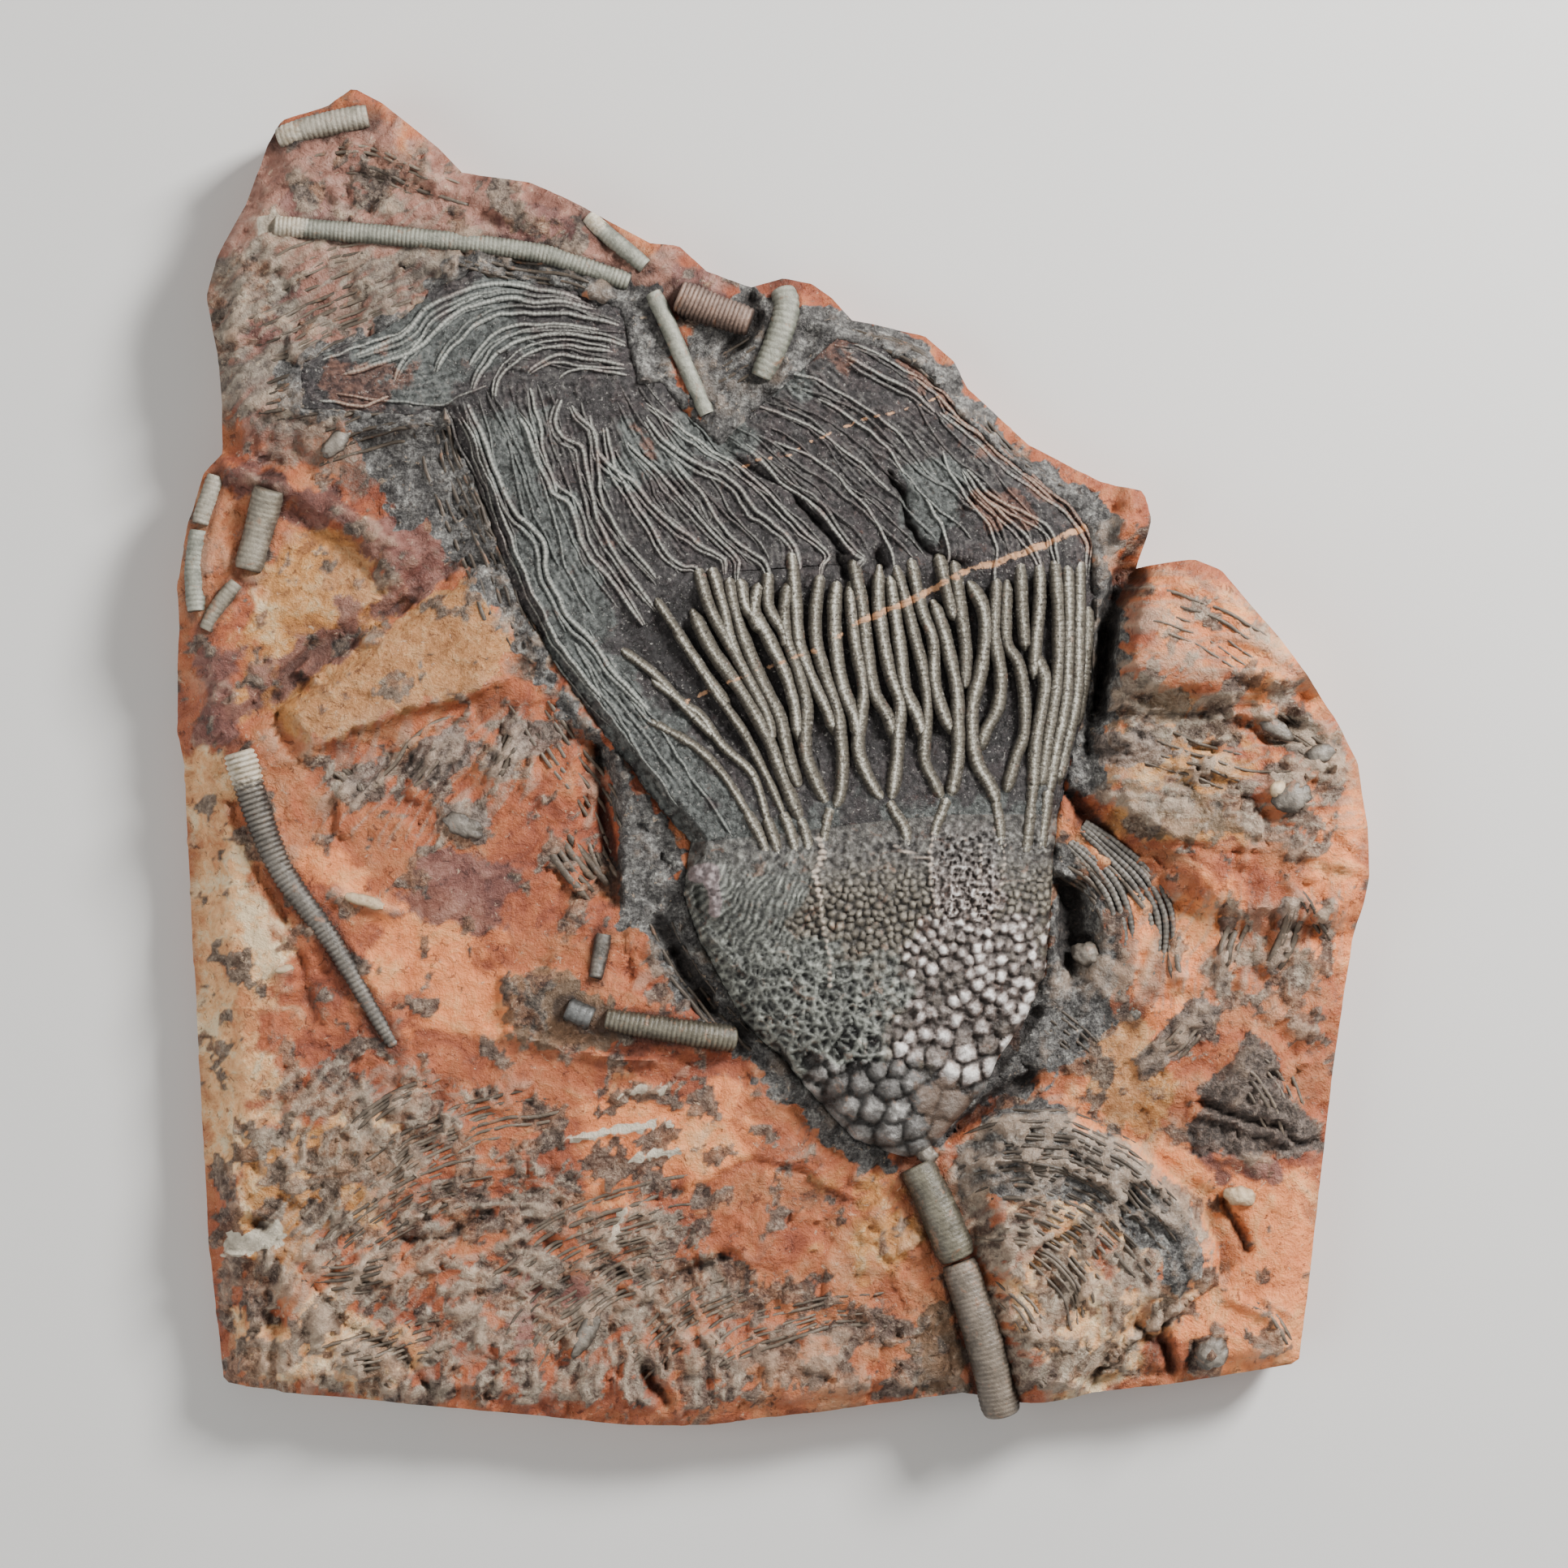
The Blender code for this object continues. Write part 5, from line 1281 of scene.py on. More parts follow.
def left_of(places):
    """One millimetre to the left at each place on a line, as it runs."""
    way = np.gradient(places, axis=0)
    way /= np.linalg.norm(way, axis=1)[:, None]
    return np.column_stack([-way[:, 1], way[:, 0]])


def beside(route, offset):
    """A line that leaves another one, runs along beside it and joins it again."""
    places = smooth_route(route, 24)
    swing = offset * np.sin(np.linspace(0.06, 0.97, 24) * math.pi) ** 0.6
    return places + left_of(places) * swing[:, None]


def filler_lines(first, second, count, rng):
    """Fine strands that follow the flow between two edges and lie a little across each other."""
    lines = []
    a, b = smooth_route(first, 14), smooth_route(second, 14)
    for n in range(count):
        share = (n + 0.5 + rng.uniform(-0.35, 0.35)) / count
        drift = rng.uniform(-0.9, 0.9) / count
        start, stop = sorted(rng.uniform(0, 13, 2).round().astype(int))
        if stop - start < 6:
            start, stop = max(0, start - 4), min(13, start + 8)
        steps = np.arange(start, stop + 1)
        wave = 0.012 * np.sin(steps * 1.1 + rng.uniform(0, 6))
        shares = np.clip(share + drift * np.linspace(-1, 1, len(steps)) + wave, 0.03, 0.97)
        lines.append(a[steps] + (b[steps] - a[steps]) * shares[:, None])
    return lines


FIRST_SHORT_ARM, FIRST_ROOT = 30, 35  # in ARM_LINES


def to_nearest_tip(line):
    """Carries a strand's root on to the nearest arm's tip, where one is near."""
    root = np.array(line[-1], float)
    tips = np.array([arm[0] for arm in ARM_LINES[:FIRST_SHORT_ARM]], float)
    away = np.hypot(*(tips - root).T)
    if away.min() > 4.5 or root[1] < 33:
        return line
    tip = tips[away.argmin()]
    return list(line) + [tuple(tip * 0.8 + root * 0.2), (tip[0], tip[1] - 2.0)]


def make_crown(arm_stone, plume_stone):
    rng = np.random.default_rng(17)
    middles = {name: list(a) + list(b)[::-1] for name, (a, b, _) in FANS.items()}

    def holder_of(line, names):
        middle = np.array(line)[len(line) // 2]
        depths = {n: float(depth_in(*middle[:, None], middles[n])[0]) for n in names}
        return max(depths, key=depths.get)

    arm_names = [n for n in FANS if n.startswith("arms")]
    plume_names = [n for n in FANS if n.startswith("plume")] + ["arms_far_left"]
    parts = {name: [] for name in FANS}
    for n, line in enumerate(ARM_LINES):
        long_arm = n < FIRST_SHORT_ARM
        width = rng.uniform(1.2, 1.42) if long_arm else 0.95
        if n >= FIRST_ROOT:
            width = 1.25
        if long_arm and line[0][1] > 30:
            reach = rng.uniform(-1.0, 4.0)
            line = [(line[0][0] - 0.45 * reach, line[0][1] + 0.8 * reach)] + line[1:]
        arm = strand("arm", line, width, 10, 0.035, 0.95, False, rng.uniform(0.88, 1.0))
        parts[holder_of(line, arm_names)].append(arm)
    for radius, line in PLUME_LINES:
        home = parts[holder_of(line, plume_names)]
        line = to_nearest_tip(line)
        if line[-1][0] < -36 and line[-1][1] > 60:
            line = smooth_route(line, 24)[rng.integers(0, 3):24 - rng.integers(0, 5)]
        home.append(strand("feather", line, 0.8 * radius, 8, 0.08, 0.8, True))
        if radius >= 0.55:
            other = beside(line, rng.choice([-1, 1]) * rng.uniform(1.1, 1.5))
            pale = rng.uniform(0.65, 1.0)
            home.append(strand("feather", other, 0.62 * radius, 6, 0.08, 0.8, True, pale))
    for name, (first, second, count) in FANS.items():
        mat = make_mat(name, first, second)
        for line in filler_lines(first, second, count, rng):
            radius, pale = rng.uniform(0.26, 0.38), rng.uniform(0.4, 0.8)
            parts[name].append(strand("fine", line, radius, 6, 0.08, 0.9, True, pale))
        piece = joined("crown_" + name, [mat] + parts[name])
        close_ends(piece)
        add_crown_shares(piece)
        in_plume = name.startswith("plume")
        stone, slot = (plume_stone, "plume_calcite") if in_plume else (arm_stone, "arm_calcite")
        finish_piece(piece, stone, slot, name)


# --- Scraps in the rock -----------------------------------------------------------------------

SCRAP_BUNDLES = [  # how many strands, how broad the bundle is, their radius, and its line
    (9, 10, 0.42, [(-8, -77), (-24, -80), (-40, -87), (-54, -97)]),
    (8, 9, 0.42, [(-10, -86), (-24, -90), (-38, -98), (-46, -108)]),
    (7, 8, 0.4, [(-30, -61), (-48, -63), (-62, -69), (-78, -80)]),
    (7, 9, 0.4, [(-42, -73), (-58, -76), (-72, -84), (-82, -95)]),
    (6, 8, 0.42, [(0, -92), (-14, -98), (-28, -110)]),
    (6, 7, 0.4, [(24, -97), (10, -98), (-4, -102), (-16, -110)]),
    (5, 6, 0.4, [(-60, -88), (-72, -92), (-86, -92)]),
    (6, 7, 0.42, [(-54, -100), (-66, -103), (-82, -107)]),
    (4, 4, 0.45, [(-56, -56), (-66, -60), (-76, -68)]),
    (11, 12, 0.42, [(31, -72), (42, -68), (54, -69), (66, -77), (76, -89)]),
    (9, 10, 0.42, [(33, -77), (44, -75), (56, -80), (64, -88), (70, -96)]),
    (7, 9, 0.4, [(35, -84), (45, -84), (54, -92), (57, -103)]),
    (4, 6, 0.4, [(39, -92), (46, -98), (50, -107)]),
    (5, 6.5, 0.62, [(53, -13), (59, -17), (65, -22), (69, -28)]),
    (4, 5.5, 0.62, [(50, -18), (56, -22), (60, -28), (61, -35)]),
    (3, 3.5, 0.7, [(83, -28), (81, -33), (80, -39)]),
    (3, 3.2, 0.65, [(92, -24), (91, -31), (88, -38)]),
    (2, 2.0, 0.6, [(72, -30), (71, -36), (73, -41)]),
    (2, 2.0, 0.5, [(91, -22), (96, -28), (100, -34)]),
    (4, 5.0, 0.45, [(77, -44), (72, -50), (66, -54)]),
    (6, 9.0, 0.42, [(82, -52), (88, -58), (92, -67)]),
    (5, 6.0, 0.42, [(46, -44), (52, -48), (60, -55)]),
    (2, 1.6, 0.5, [(81, -95), (88, -98), (92, -104)]),
    (4, 5.0, 0.4, [(86, 7), (92, 4), (99, -2)]),
    (5, 9.0, 0.35, [(62, 26), (72, 24), (82, 19), (90, 12)]),
    (4, 8.0, 0.35, [(61, 4), (72, 0), (84, -4), (92, -4)]),
    (3, 3.0, 0.45, [(-77, -1), (-73, -4), (-70, -9)]),
    (3, 3.0, 0.45, [(-56, 3), (-60, -2), (-65, -6)]),
    (3, 2.6, 0.5, [(-43, 6), (-46, 1), (-49, -4)]),
    (1, 0.0, 0.45, [(-52.5, 8), (-60, 5), (-66, -1), (-73, -9)]),
    (4, 5.0, 0.8, [(-38, -13), (-34, -19), (-29, -25)]),
    (3, 3.6, 0.6, [(-32, -13), (-30, -19), (-27, -24)]),
    (7, 12, 0.42, [(-58, 79), (-70, 75), (-82, 69), (-95, 65)]),
    (6, 9, 0.4, [(-60, 69), (-70, 65), (-80, 62), (-93, 60)]),
    (5, 8, 0.4, [(-62, 86), (-74, 81), (-86, 75), (-96, 71)]),
    (4, 7, 0.38, [(-66, 90), (-78, 88), (-90, 82)]),
    (6, 8, 0.42, [(-60, 63), (-57, 52), (-52, 40), (-46, 26), (-40, 14)]),
    (4, 6, 0.4, [(-56, 57), (-66, 58), (-76, 55), (-84, 53)]),
    (5, 7, 0.42, [(-44, 12), (-36, 0), (-30, -8), (-24, -22)]),
    (5, 7, 0.38, [(-56, 89), (-46, 86.4), (-36, 85), (-27, 82)]),
    (4, 7, 0.4, [(-84, 103), (-72, 105), (-60, 100), (-46, 96)]),
    (4, 6, 0.4, [(-22, -26), (-16, -36), (-9, -46), (2, -58)]),
    (5, 6, 0.4, [(14, 76), (24, 73), (33, 66)]),
    (4, 4, 0.4, [(35, 63), (46, 53), (57, 46.6)]),
    (4, 7, 0.4, [(-12, 66), (-4, 70), (4, 76)]),
]
PEBBLES = [  # colour, length, breadth and height, turn, place
    ("pale", (5.6, 3.6, 3.0), -10, (82.6, -77)),
    ("dark", (6.4, 5.4, 3.6), 40, (77.6, -104.6)),
    ("dark", (6.6, 5.4, 2.4), 15, (91, -7)),
    ("pale", (3.2, 2.6, 1.8), 60, (88.4, -5.6)),
    ("dark", (6.5, 3.2, 2.0), -28, (88.5, 5)),
    ("dark", (5.0, 3.4, 2.0), 12, (96, 0.6)),
    ("pale", (8.5, 2.2, 1.2), -16, (-71, -25.2)),
    ("pale", (3.6, 1.6, 1.0), 10, (-85, -37.2)),
    ("dark", (9.5, 3.2, 1.6), 62, (-32, -101)),
    ("dark", (5.4, 4.2, 4.2), -20, (55.8, -34.6)),
    ("dark", (5.2, 3.4, 3.6), -60, (27.2, -69.0)),
    ("dark", (7.5, 3.8, 1.6), -24, (-53.6, -12)),
    ("dark", (6.6, 3.4, 1.8), 46, (-76, 55)),
    ("dark", (3.4, 2.4, 2.0), -30, (28.2, -69.6)),
]


def alongside(route, offset, start, stop):
    """Part of a line that runs beside another, a steady way off."""
    places = smooth_route(route, 40)
    places = places + left_of(places) * offset
    return places[int(40 * start):max(int(40 * stop), int(40 * start) + 6)]


def make_pebble(size, turn, place):
    """A worn stone on the mean height of the ground round its foot."""
    length, breadth, height = size
    px, py = place
    bpy.ops.object.select_all(action="DESELECT")
    bpy.ops.mesh.primitive_ico_sphere_add(subdivisions=4, radius=0.5)
    pebble = bpy.context.object
    x, y, z = (places_of(pebble) * MM).T
    x, y, z = x * length, y * breadth, z * height
    dent = 1 + 0.16 * lumps(x + 9 * px, y + z, 1.8, 121) + 0.1 * lumps(x + z, y + py, 0.9, 122)
    x, y = turned(x * dent, y * dent, -turn)
    turns = np.linspace(0, math.tau, 12)
    foot = 0.45 * (length + breadth) / 2 + 0.6
    ground = ground_under(px + foot * np.cos(turns), py + foot * np.sin(turns)).mean()
    lift = ground + 0.1 * height + 0.35
    put_places(pebble, np.column_stack([x + px, y + py, z * dent + lift]))
    # Painted light: the pebble is paler towards its top.
    add_share(pebble, "lit_top_and_tone", 0.5 + 1.0 * z / height)
    return pebble


def make_scraps(stones):
    rng = np.random.default_rng(43)
    rods = []
    for count, breadth, thick, route in SCRAP_BUNDLES:
        for n in range(count):
            offset = (n + 0.5) * breadth / count - breadth / 2 + rng.uniform(-0.5, 0.5)
            start, stop = rng.uniform(0, 0.28), rng.uniform(0.7, 1.0)
            flat = alongside(route, offset * (count > 1), start, stop)
            flat = smooth_route(flat, max(round(route_length(flat) / 0.9), 6))
            x, y = flat.T
            x, y = x + 0.5 * layers(x, y, 9.0, 2, 111), y + 0.5 * layers(x, y, 9.0, 2, 113)
            if min(depth_in(x, y, SLAB_OUTLINE)) < 1.2:
                continue
            ends = eased(np.linspace(0, 6, len(x))) * eased(np.linspace(6, 0, len(x)))
            radii = thick * rng.uniform(0.75, 1.15) * (0.4 + 0.6 * ends)
            height = ground_under(x, y) + 0.3 * lumps(x, y, 5.0, 115) - 0.55 * thick
            height = height - 0.5 * (1 - ends)
            rod = ringed_rod("scrap", np.column_stack([x, y, height]), radii, 5, 0.05, 1.5)
            pale = rng.uniform(0.6, 1.0)
            pale *= 1 - 0.5 * over_patches(x, y, PATCHES["mat"][1], 3.0, 117).mean()
            # Painted light: the strand is paler along its crest; pale sets its tone.
            add_share(rod, "lit_top_and_tone", pale * (0.3 + 0.7 * share_of(rod, "crest")))
            add_share(rod, "joint", np.zeros(len(rod.data.vertices)))
            rods.append(rod)
    scraps = joined("strands_in_the_rock", rods)
    close_ends(scraps)
    finish_piece(scraps, stones["scrap"], "arm_calcite")
    for colour in ("dark", "pale"):
        pebbles = [make_pebble(*rest) for kind, *rest in PEBBLES if kind == colour]
        finish_piece(joined(colour + "_pebbles", pebbles), stones[colour], "red_limestone")


# --- The calyx --------------------------------------------------------------------------------

CALYX_OUTLINE = CALYX_RIM + CALYX_SIDES
RAY_RIDGES = [  # height, width, line
    (0.8, 0.6, [(8.3, -22), (9.2, -28), (10.3, -34), (10.5, -40)]),
    (1.0, 1.0, [(8.6, -14), (9.4, -17), (8.2, -20), (8.6, -24)]),
    (0.8, 0.6, [(28.5, -13), (27.8, -20), (29.2, -28)]),
    (0.7, 0.6, [(41, -15), (40.4, -22), (38.6, -30)]),
    (0.7, 0.9, [(22, -15.6), (25, -17), (28, -17.6)]),
    (0.7, 0.6, [(37, -15), (36.4, -22), (35.6, -28)]),
]
EAR = [(-12.4, -20.4), (-10.6, -20.2), (-9.6, -23), (-9.4, -27)]
BARRED_RIDGE = [(-14.4, -24), (-12.8, -28.8), (-9, -33), (-5.6, -36.4)]
ZONES = {  # each kind of plate: how soft its edge is, and where it lies
    "bosses": (5.0, [
        [(27, -29), (44, -28), (53, -34), (46, -56), (30, -56), (21, -50), (24, -38)],
    ]),
    "network": (6.0, [
        [(-16, -32), (2, -28), (12, -34), (22, -40), (22, -54), (6, -58), (-10, -50)],
    ]),
    "lace": (2.2, [[(28, -12), (41, -12), (40, -28), (36, -32), (29.5, -30)]]),
    "combed": (5.0, [[(-20, -16), (6, -11), (8, -24), (0, -36), (-16, -34)]]),
    "foot": (4.0, [[(6, -52), (46, -53), (40, -74), (12, -74)]]),
}


def plate_size(x, y):
    """Plates are large at the calyx's foot and small at its rim."""
    size = np.interp(y, [-66, -58, -53, -47, -40, -30, -20, -8],
                     [5.0, 4.6, 3.5, 2.1, 1.7, 1.4, 1.1, 1.0])
    return size * (1 + 0.35 * eased((x - 22) / 8) * eased((-24 - y) / 8) * eased((y + 56) / 6))


def plate_middles():
    rng = np.random.default_rng(29)
    found = [(32.0, -61.0), (25.4, -64.5), (31.6, -54.6), (24.6, -56.2), (18, -61), (12, -57)]
    tries = rng.uniform((-18, -72), (53, -5), (34000, 2))
    tries = tries[depth_in(tries[:, 0], tries[:, 1], CALYX_OUTLINE) > -1]
    sizes = plate_size(tries[:, 0], tries[:, 1])
    for place, size in zip(tries, sizes):
        taken = np.array(found)
        if np.hypot(*(taken - place).T).min() > 0.84 * size:
            found.append(tuple(place))
    return found


def ridges_between(x, y, middles, numbers):
    """Distance from the nearest line that joins two of each place's three nearest middles."""
    nearest = np.full(len(x), 1e3)
    for first, second in ((0, 1), (0, 2), (1, 2)):
        a, b = middles[numbers[:, first]], middles[numbers[:, second]]
        way = b - a
        away = np.column_stack([x, y]) - a
        share = np.clip((away * way).sum(axis=1) / (way ** 2).sum(axis=1), 0, 1)
        nearest = np.minimum(nearest, np.linalg.norm(away - way * share[:, None], axis=1))
    return nearest


def make_calyx(stone):
    calyx = trimmed_sheet("calyx_cup", CALYX_OUTLINE, 0.26)
    x, y, _ = places_of(calyx).T
    middles = np.array(plate_middles())
    tree = kdtree.KDTree(len(middles))
    for n, middle in enumerate(middles):
        tree.insert((*middle, 0), n)
    tree.balance()
    warp_x, warp_y = x + 0.35 * lumps(x, y, 2.2, 91), y + 0.35 * lumps(x, y, 2.2, 92)
    found = [tree.find_n((a, b, 0), 3) for a, b in zip(warp_x, warp_y)]
    near = np.array([[f[2] for f in three] for three in found])
    owners = np.array([[f[1] for f in three] for three in found])
    tone = np.random.default_rng(31).uniform(0, 1, len(middles))[owners[:, 0]]
    size = plate_size(x, y)
    seam = eased((near[:, 1] - near[:, 0]) / (0.34 * size))
    zone = {name: over_patches(x, y, outlines, softness, 93 + n)
            for n, (name, (softness, outlines)) in enumerate(ZONES.items())}
    dome = np.clip(1.02 - (near[:, 0] / (0.6 * size)) ** 2, 0, 1)
    star_away = ridges_between(warp_x, warp_y, middles, owners)
    star = np.exp(-(star_away / (0.17 + 0.12 * size)) ** 2)
    grain = layers(x, y, 0.9, 2, 96, 0.7)
    clumps = layers(x, y, 1.7, 2, 99, 0.6)
    plates = 0.5 * dome + 0.3 * seam + 0.2 * clumps
    plates += zone["network"] * (0.5 * star + 0.25 * dome + 0.25 * clumps - plates)
    plates += zone["lace"] * (0.35 + 0.7 * grain + 0.3 * clumps - plates)
    knobs = dome * (0.5 + 0.6 * tone) + 0.3 * clumps * (1 - dome) + 0.15 * grain
    plates += zone["bosses"] * (knobs - plates)
    plates += zone["foot"] * (0.7 * dome + 0.2 * seam + 0.16 * clumps + 0.1 * star - plates)
    across = 36 * np.arctan2(y - 6, x - 16) + 1.5 * lumps(x, y, 7.0, 94) + 0.5 * lumps(x, y, 2.4, 95)
    combed = (0.5 + 0.5 * np.cos(math.tau * across / 1.15)) * (0.75 + 0.5 * clumps)
    plates += zone["combed"] * (0.55 * combed + 0.3 * star - plates)
    fine_rim = eased((y + 24) / 9 + 0.25 * lumps(x, y, 5.0, 100))
    plates += fine_rim * (1 - zone["lace"]) * (0.35 + 0.35 * grain + 0.4 * clumps - plates)
    rise = 0.4 + 0.3 * np.minimum(size, 3.4)
    height = calyx_height(x, y) - 0.75 * rise + rise * plates + 0.1 * grain
    rays = np.zeros(len(x))
    for lift, width, line in RAY_RIDGES:
        away = distance_to_line(x + 0.5 * lumps(x, y, 2.0, 98), y, line)
        beads = 0.72 + 0.28 * np.cos(math.tau * y / 1.1)
        rays = np.maximum(rays, lift * beads * np.exp(-(away / (0.8 * width)) ** 2))
    smooth_plate = over_patches(x, y, [[(26, -57), (34, -56), (36.6, -62), (31, -66), (26, -65)]],
                                2.6, 97)
    height += smooth_plate * 0.5 * rise * (0.7 - plates)
    ear_away = distance_to_line(x + 0.5 * lumps(x, y, 3.0, 104), y, EAR)
    ear = np.exp(-(ear_away / (1.1 + 1.0 * eased((y + 28) / 8))) ** 4)
    barred = np.exp(-(distance_to_line(x, y, BARRED_RIDGE) / 1.3) ** 4)
    bars = 0.5 + 0.5 * np.cos(math.tau * (x + y) / 1.3)
    height += rays * 0.8 + ear * (1.0 + 0.5 * clumps) + barred * (0.5 + 0.35 * bars)
    height -= 1.2 * np.exp(-((distance_to_line(x + 2.4, y - 0.6, EAR)) / 0.9) ** 2) * (1 - ear)
    from_side = distance_to_line(x, y, [CALYX_RIM[-1]] + CALYX_SIDES + [CALYX_RIM[0]])
    height -= 0.7 * (1 - eased(from_side / 1.4))
    mat, grit = mat_surface(x, y)
    join = 1 - eased(distance_to_line(x, y, CALYX_RIM) / 5.0 - 0.05)
    height = np.maximum(height + join * (mat - height), 11.5)
    put_places(calyx, np.column_stack([x, y, height]))
    # Painted light: the plates are paler the higher they stand, with a tone that differs from plate to
    # plate.
    lit_top_and_tone = plates * (0.6 + 0.4 * tone)
    add_share(calyx, "lit_top_and_tone", lit_top_and_tone + join * (0.28 + 0.3 * grit - lit_top_and_tone))
    # Painted highlight: the knobs and lace zone take a ramp whose peaks turn near white; their tone
    # differs from knob to knob.
    add_share(calyx, "highlit_plates", zone["bosses"] * (0.35 + 0.65 * tone) + zone["lace"])
    add_share(calyx, "green", np.maximum(zone["network"], zone["combed"]))
    add_share(calyx, "foot", zone["foot"])
    # Painted shade: dark in the network's pits and in the seams between the knobs and between the
    # foot's plates.
    painted_shade = zone["network"] * eased((star_away - 0.26) / 0.24)
    add_share(calyx, "shade_in_pits_and_seams", 0.75 * painted_shade + (1 - seam) * (0.4 * zone["bosses"] + 0.6 * zone["foot"]))
    add_share(calyx, "ray", rays)
    add_share(calyx, "pink", ear * 0.8)
    add_share(calyx, "brown", smooth_plate)
    add_share(calyx, "rim", np.maximum(fine_rim, join))
    close_below(calyx)
    finish_piece(calyx, stone, "calyx_calcite", "calyx")


# --- Columns ----------------------------------------------------------------------------------

PALE_COLUMNS = {"column_top_edge", "column_long_upper", "column_diagonal_upper",
                "column_diagonal_lower", "column_edge_upper", "column_edge_lower",
                "column_pale_green"}
WORN_ENDS = [(3.5, (-86, 93)), (4.5, (-93, 1)), (1.5, (-84, 109)), (2.5, (-32, 95))]
BUNDLES = {  # strands that lie side by side: their number and how far apart
    "fallen_arm_inner": (3, 1.35),
    "fallen_arm_outer": (4, 1.3),
}


def make_columns(stones):
    for name, (_, _, pitch, neck, colour) in COLUMNS.items():
        places, radii = COLUMN_PATHS[name]
        if name in BUNDLES:
            count, apart = BUNDLES[name]
            rods = []
            for n in range(count):
                side = (n - (count - 1) / 2) * apart
                flat = beside(places[:, :2], side)
                step = np.linspace(0, len(places) - 1, len(flat))
                height = np.interp(step, np.arange(len(places)), places[:, 2]) - 0.12 * abs(side)
                height = height + 0.25 * lumps(flat[:, 0], flat[:, 1], 5.0, 103 + n)
                thick = 0.68 + 0.1 * lumps(flat[:, 0], flat[:, 1], 6.0, 102)
                lying = np.column_stack([flat, height])
                rods.append(ringed_rod("bundle", lying, thick, 8, neck, 0.9))
            rod = joined(name + "_rings", rods)
        else:
            sides = 20 if radii.mean() > 2.4 else 16
            wear = 1 + 0.05 * lumps(places[:, 0], places[:, 1], 3.0, 101)
            wear[[0, -1]] *= 0.88
            rod = ringed_rod(name + "_rings", places, radii * wear, sides, 0.6 * neck, pitch)
        close_ends(rod)
        add_share(rod, "joint", min(1, neck / 0.1) * share_of(rod, "joint"))
        x, y, _ = places_of(rod).T
        worn = np.zeros(len(x))
        for reach, place in WORN_ENDS:
            worn = np.maximum(worn, 1 - np.hypot(x - place[0], y - place[1]) / (2 * reach))
        add_share(rod, "worn", 1.6 * worn)
        slot = "pale_column_calcite" if name in PALE_COLUMNS else "dark_column_calcite"
        if name in BUNDLES:
            slot = "arm_calcite"
        finish_piece(rod, stones[colour], slot, name)


# --- Stone finishes ---------------------------------------------------------------------------


class Finish:
    """A stone finish under construction: each call adds a node and returns its output."""

    def __init__(self, name):
        self.material = bpy.data.materials.new(name)
        self.material.use_nodes = True
        self.tree = self.material.node_tree
        self.surface = self.tree.nodes["Principled BSDF"]
        self.place = self.tree.nodes.new("ShaderNodeTexCoord").outputs["Object"]

    def feed(self, socket, value):
        if isinstance(value, bpy.types.NodeSocket):
            self.tree.links.new(value, socket)
        elif isinstance(value, tuple) and len(value) == 3 and socket.type == "RGBA":
            socket.default_value = (*value, 1)
        else:
            socket.default_value = value

    def grain(self, size, detail=3.0, warp=0.0, rough=0.55):
        """Noise with lumps this many millimetres across."""
        made = self.tree.nodes.new("ShaderNodeTexNoise")
        self.tree.links.new(self.place, made.inputs["Vector"])
        made.inputs["Scale"].default_value = 1000 / size
        made.inputs["Detail"].default_value = detail
        made.inputs["Roughness"].default_value = rough
        made.inputs["Distortion"].default_value = warp
        return made.outputs["Fac"]

    def share(self, name):
        made = self.tree.nodes.new("ShaderNodeAttribute")
        made.attribute_name = name
        return made.outputs["Fac"]

    def sum(self, kind, first, second):
        made = self.tree.nodes.new("ShaderNodeMath")
        made.operation = kind
        self.feed(made.inputs[0], first)
        self.feed(made.inputs[1], second)
        return made.outputs[0]

    def stirred(self, level, grain, amount):
        """A level broken up by grain."""
        return self.sum("ADD", level, self.sum("MULTIPLY", self.sum("SUBTRACT", grain, 0.5), amount))

    def between(self, value, low, high, to_low=0.0, to_high=1.0):
        made = self.tree.nodes.new("ShaderNodeMapRange")
        made.interpolation_type = "SMOOTHSTEP"
        self.feed(made.inputs["Value"], value)
        made.inputs["From Min"].default_value = low
        made.inputs["From Max"].default_value = high
        made.inputs["To Min"].default_value = to_low
        made.inputs["To Max"].default_value = to_high
        return made.outputs["Result"]

    def mix(self, share, first, second, kind="MIX"):
        made = self.tree.nodes.new("ShaderNodeMix")
        made.data_type = "RGBA"
        made.blend_type = kind
        self.feed(made.inputs["Factor"], share)
        self.feed(made.inputs[6], first)
        self.feed(made.inputs[7], second)
        return made.outputs[2]

    def ramp(self, value, *stops):
        made = self.tree.nodes.new("ShaderNodeValToRGB")
        self.feed(made.inputs["Fac"], value)
        elements = made.color_ramp.elements
        while len(elements) < len(stops):
            elements.new(0.5)
        for element, (at, colour) in zip(elements, stops):
            element.position = at
            element.color = (*colour, 1)
        return made.outputs["Color"]

    def patch(self, colour, name, paint, grain, spread=1.2, crisp=0.12, most=1.0):
        """Lays paint where a share is high, its edge broken up by grain."""
        level = self.stirred(self.share(name), grain, spread)
        return self.mix(self.between(level, 0.5 - crisp, 0.5 + crisp, 0.0, most), colour, paint)

    def done(self, colour, roughness, bumps):
        self.feed(self.surface.inputs["Base Color"], colour)
        self.feed(self.surface.inputs["Roughness"], roughness)
        normal = None
        for height, distance, strength in bumps:
            bump = self.tree.nodes.new("ShaderNodeBump")
            bump.inputs["Distance"].default_value = distance * MM
            bump.inputs["Strength"].default_value = strength
            self.feed(bump.inputs["Height"], height)
            if normal is not None:
                self.feed(bump.inputs["Normal"], normal)
            normal = bump.outputs["Normal"]
        self.feed(self.surface.inputs["Normal"], normal)
        return self.material


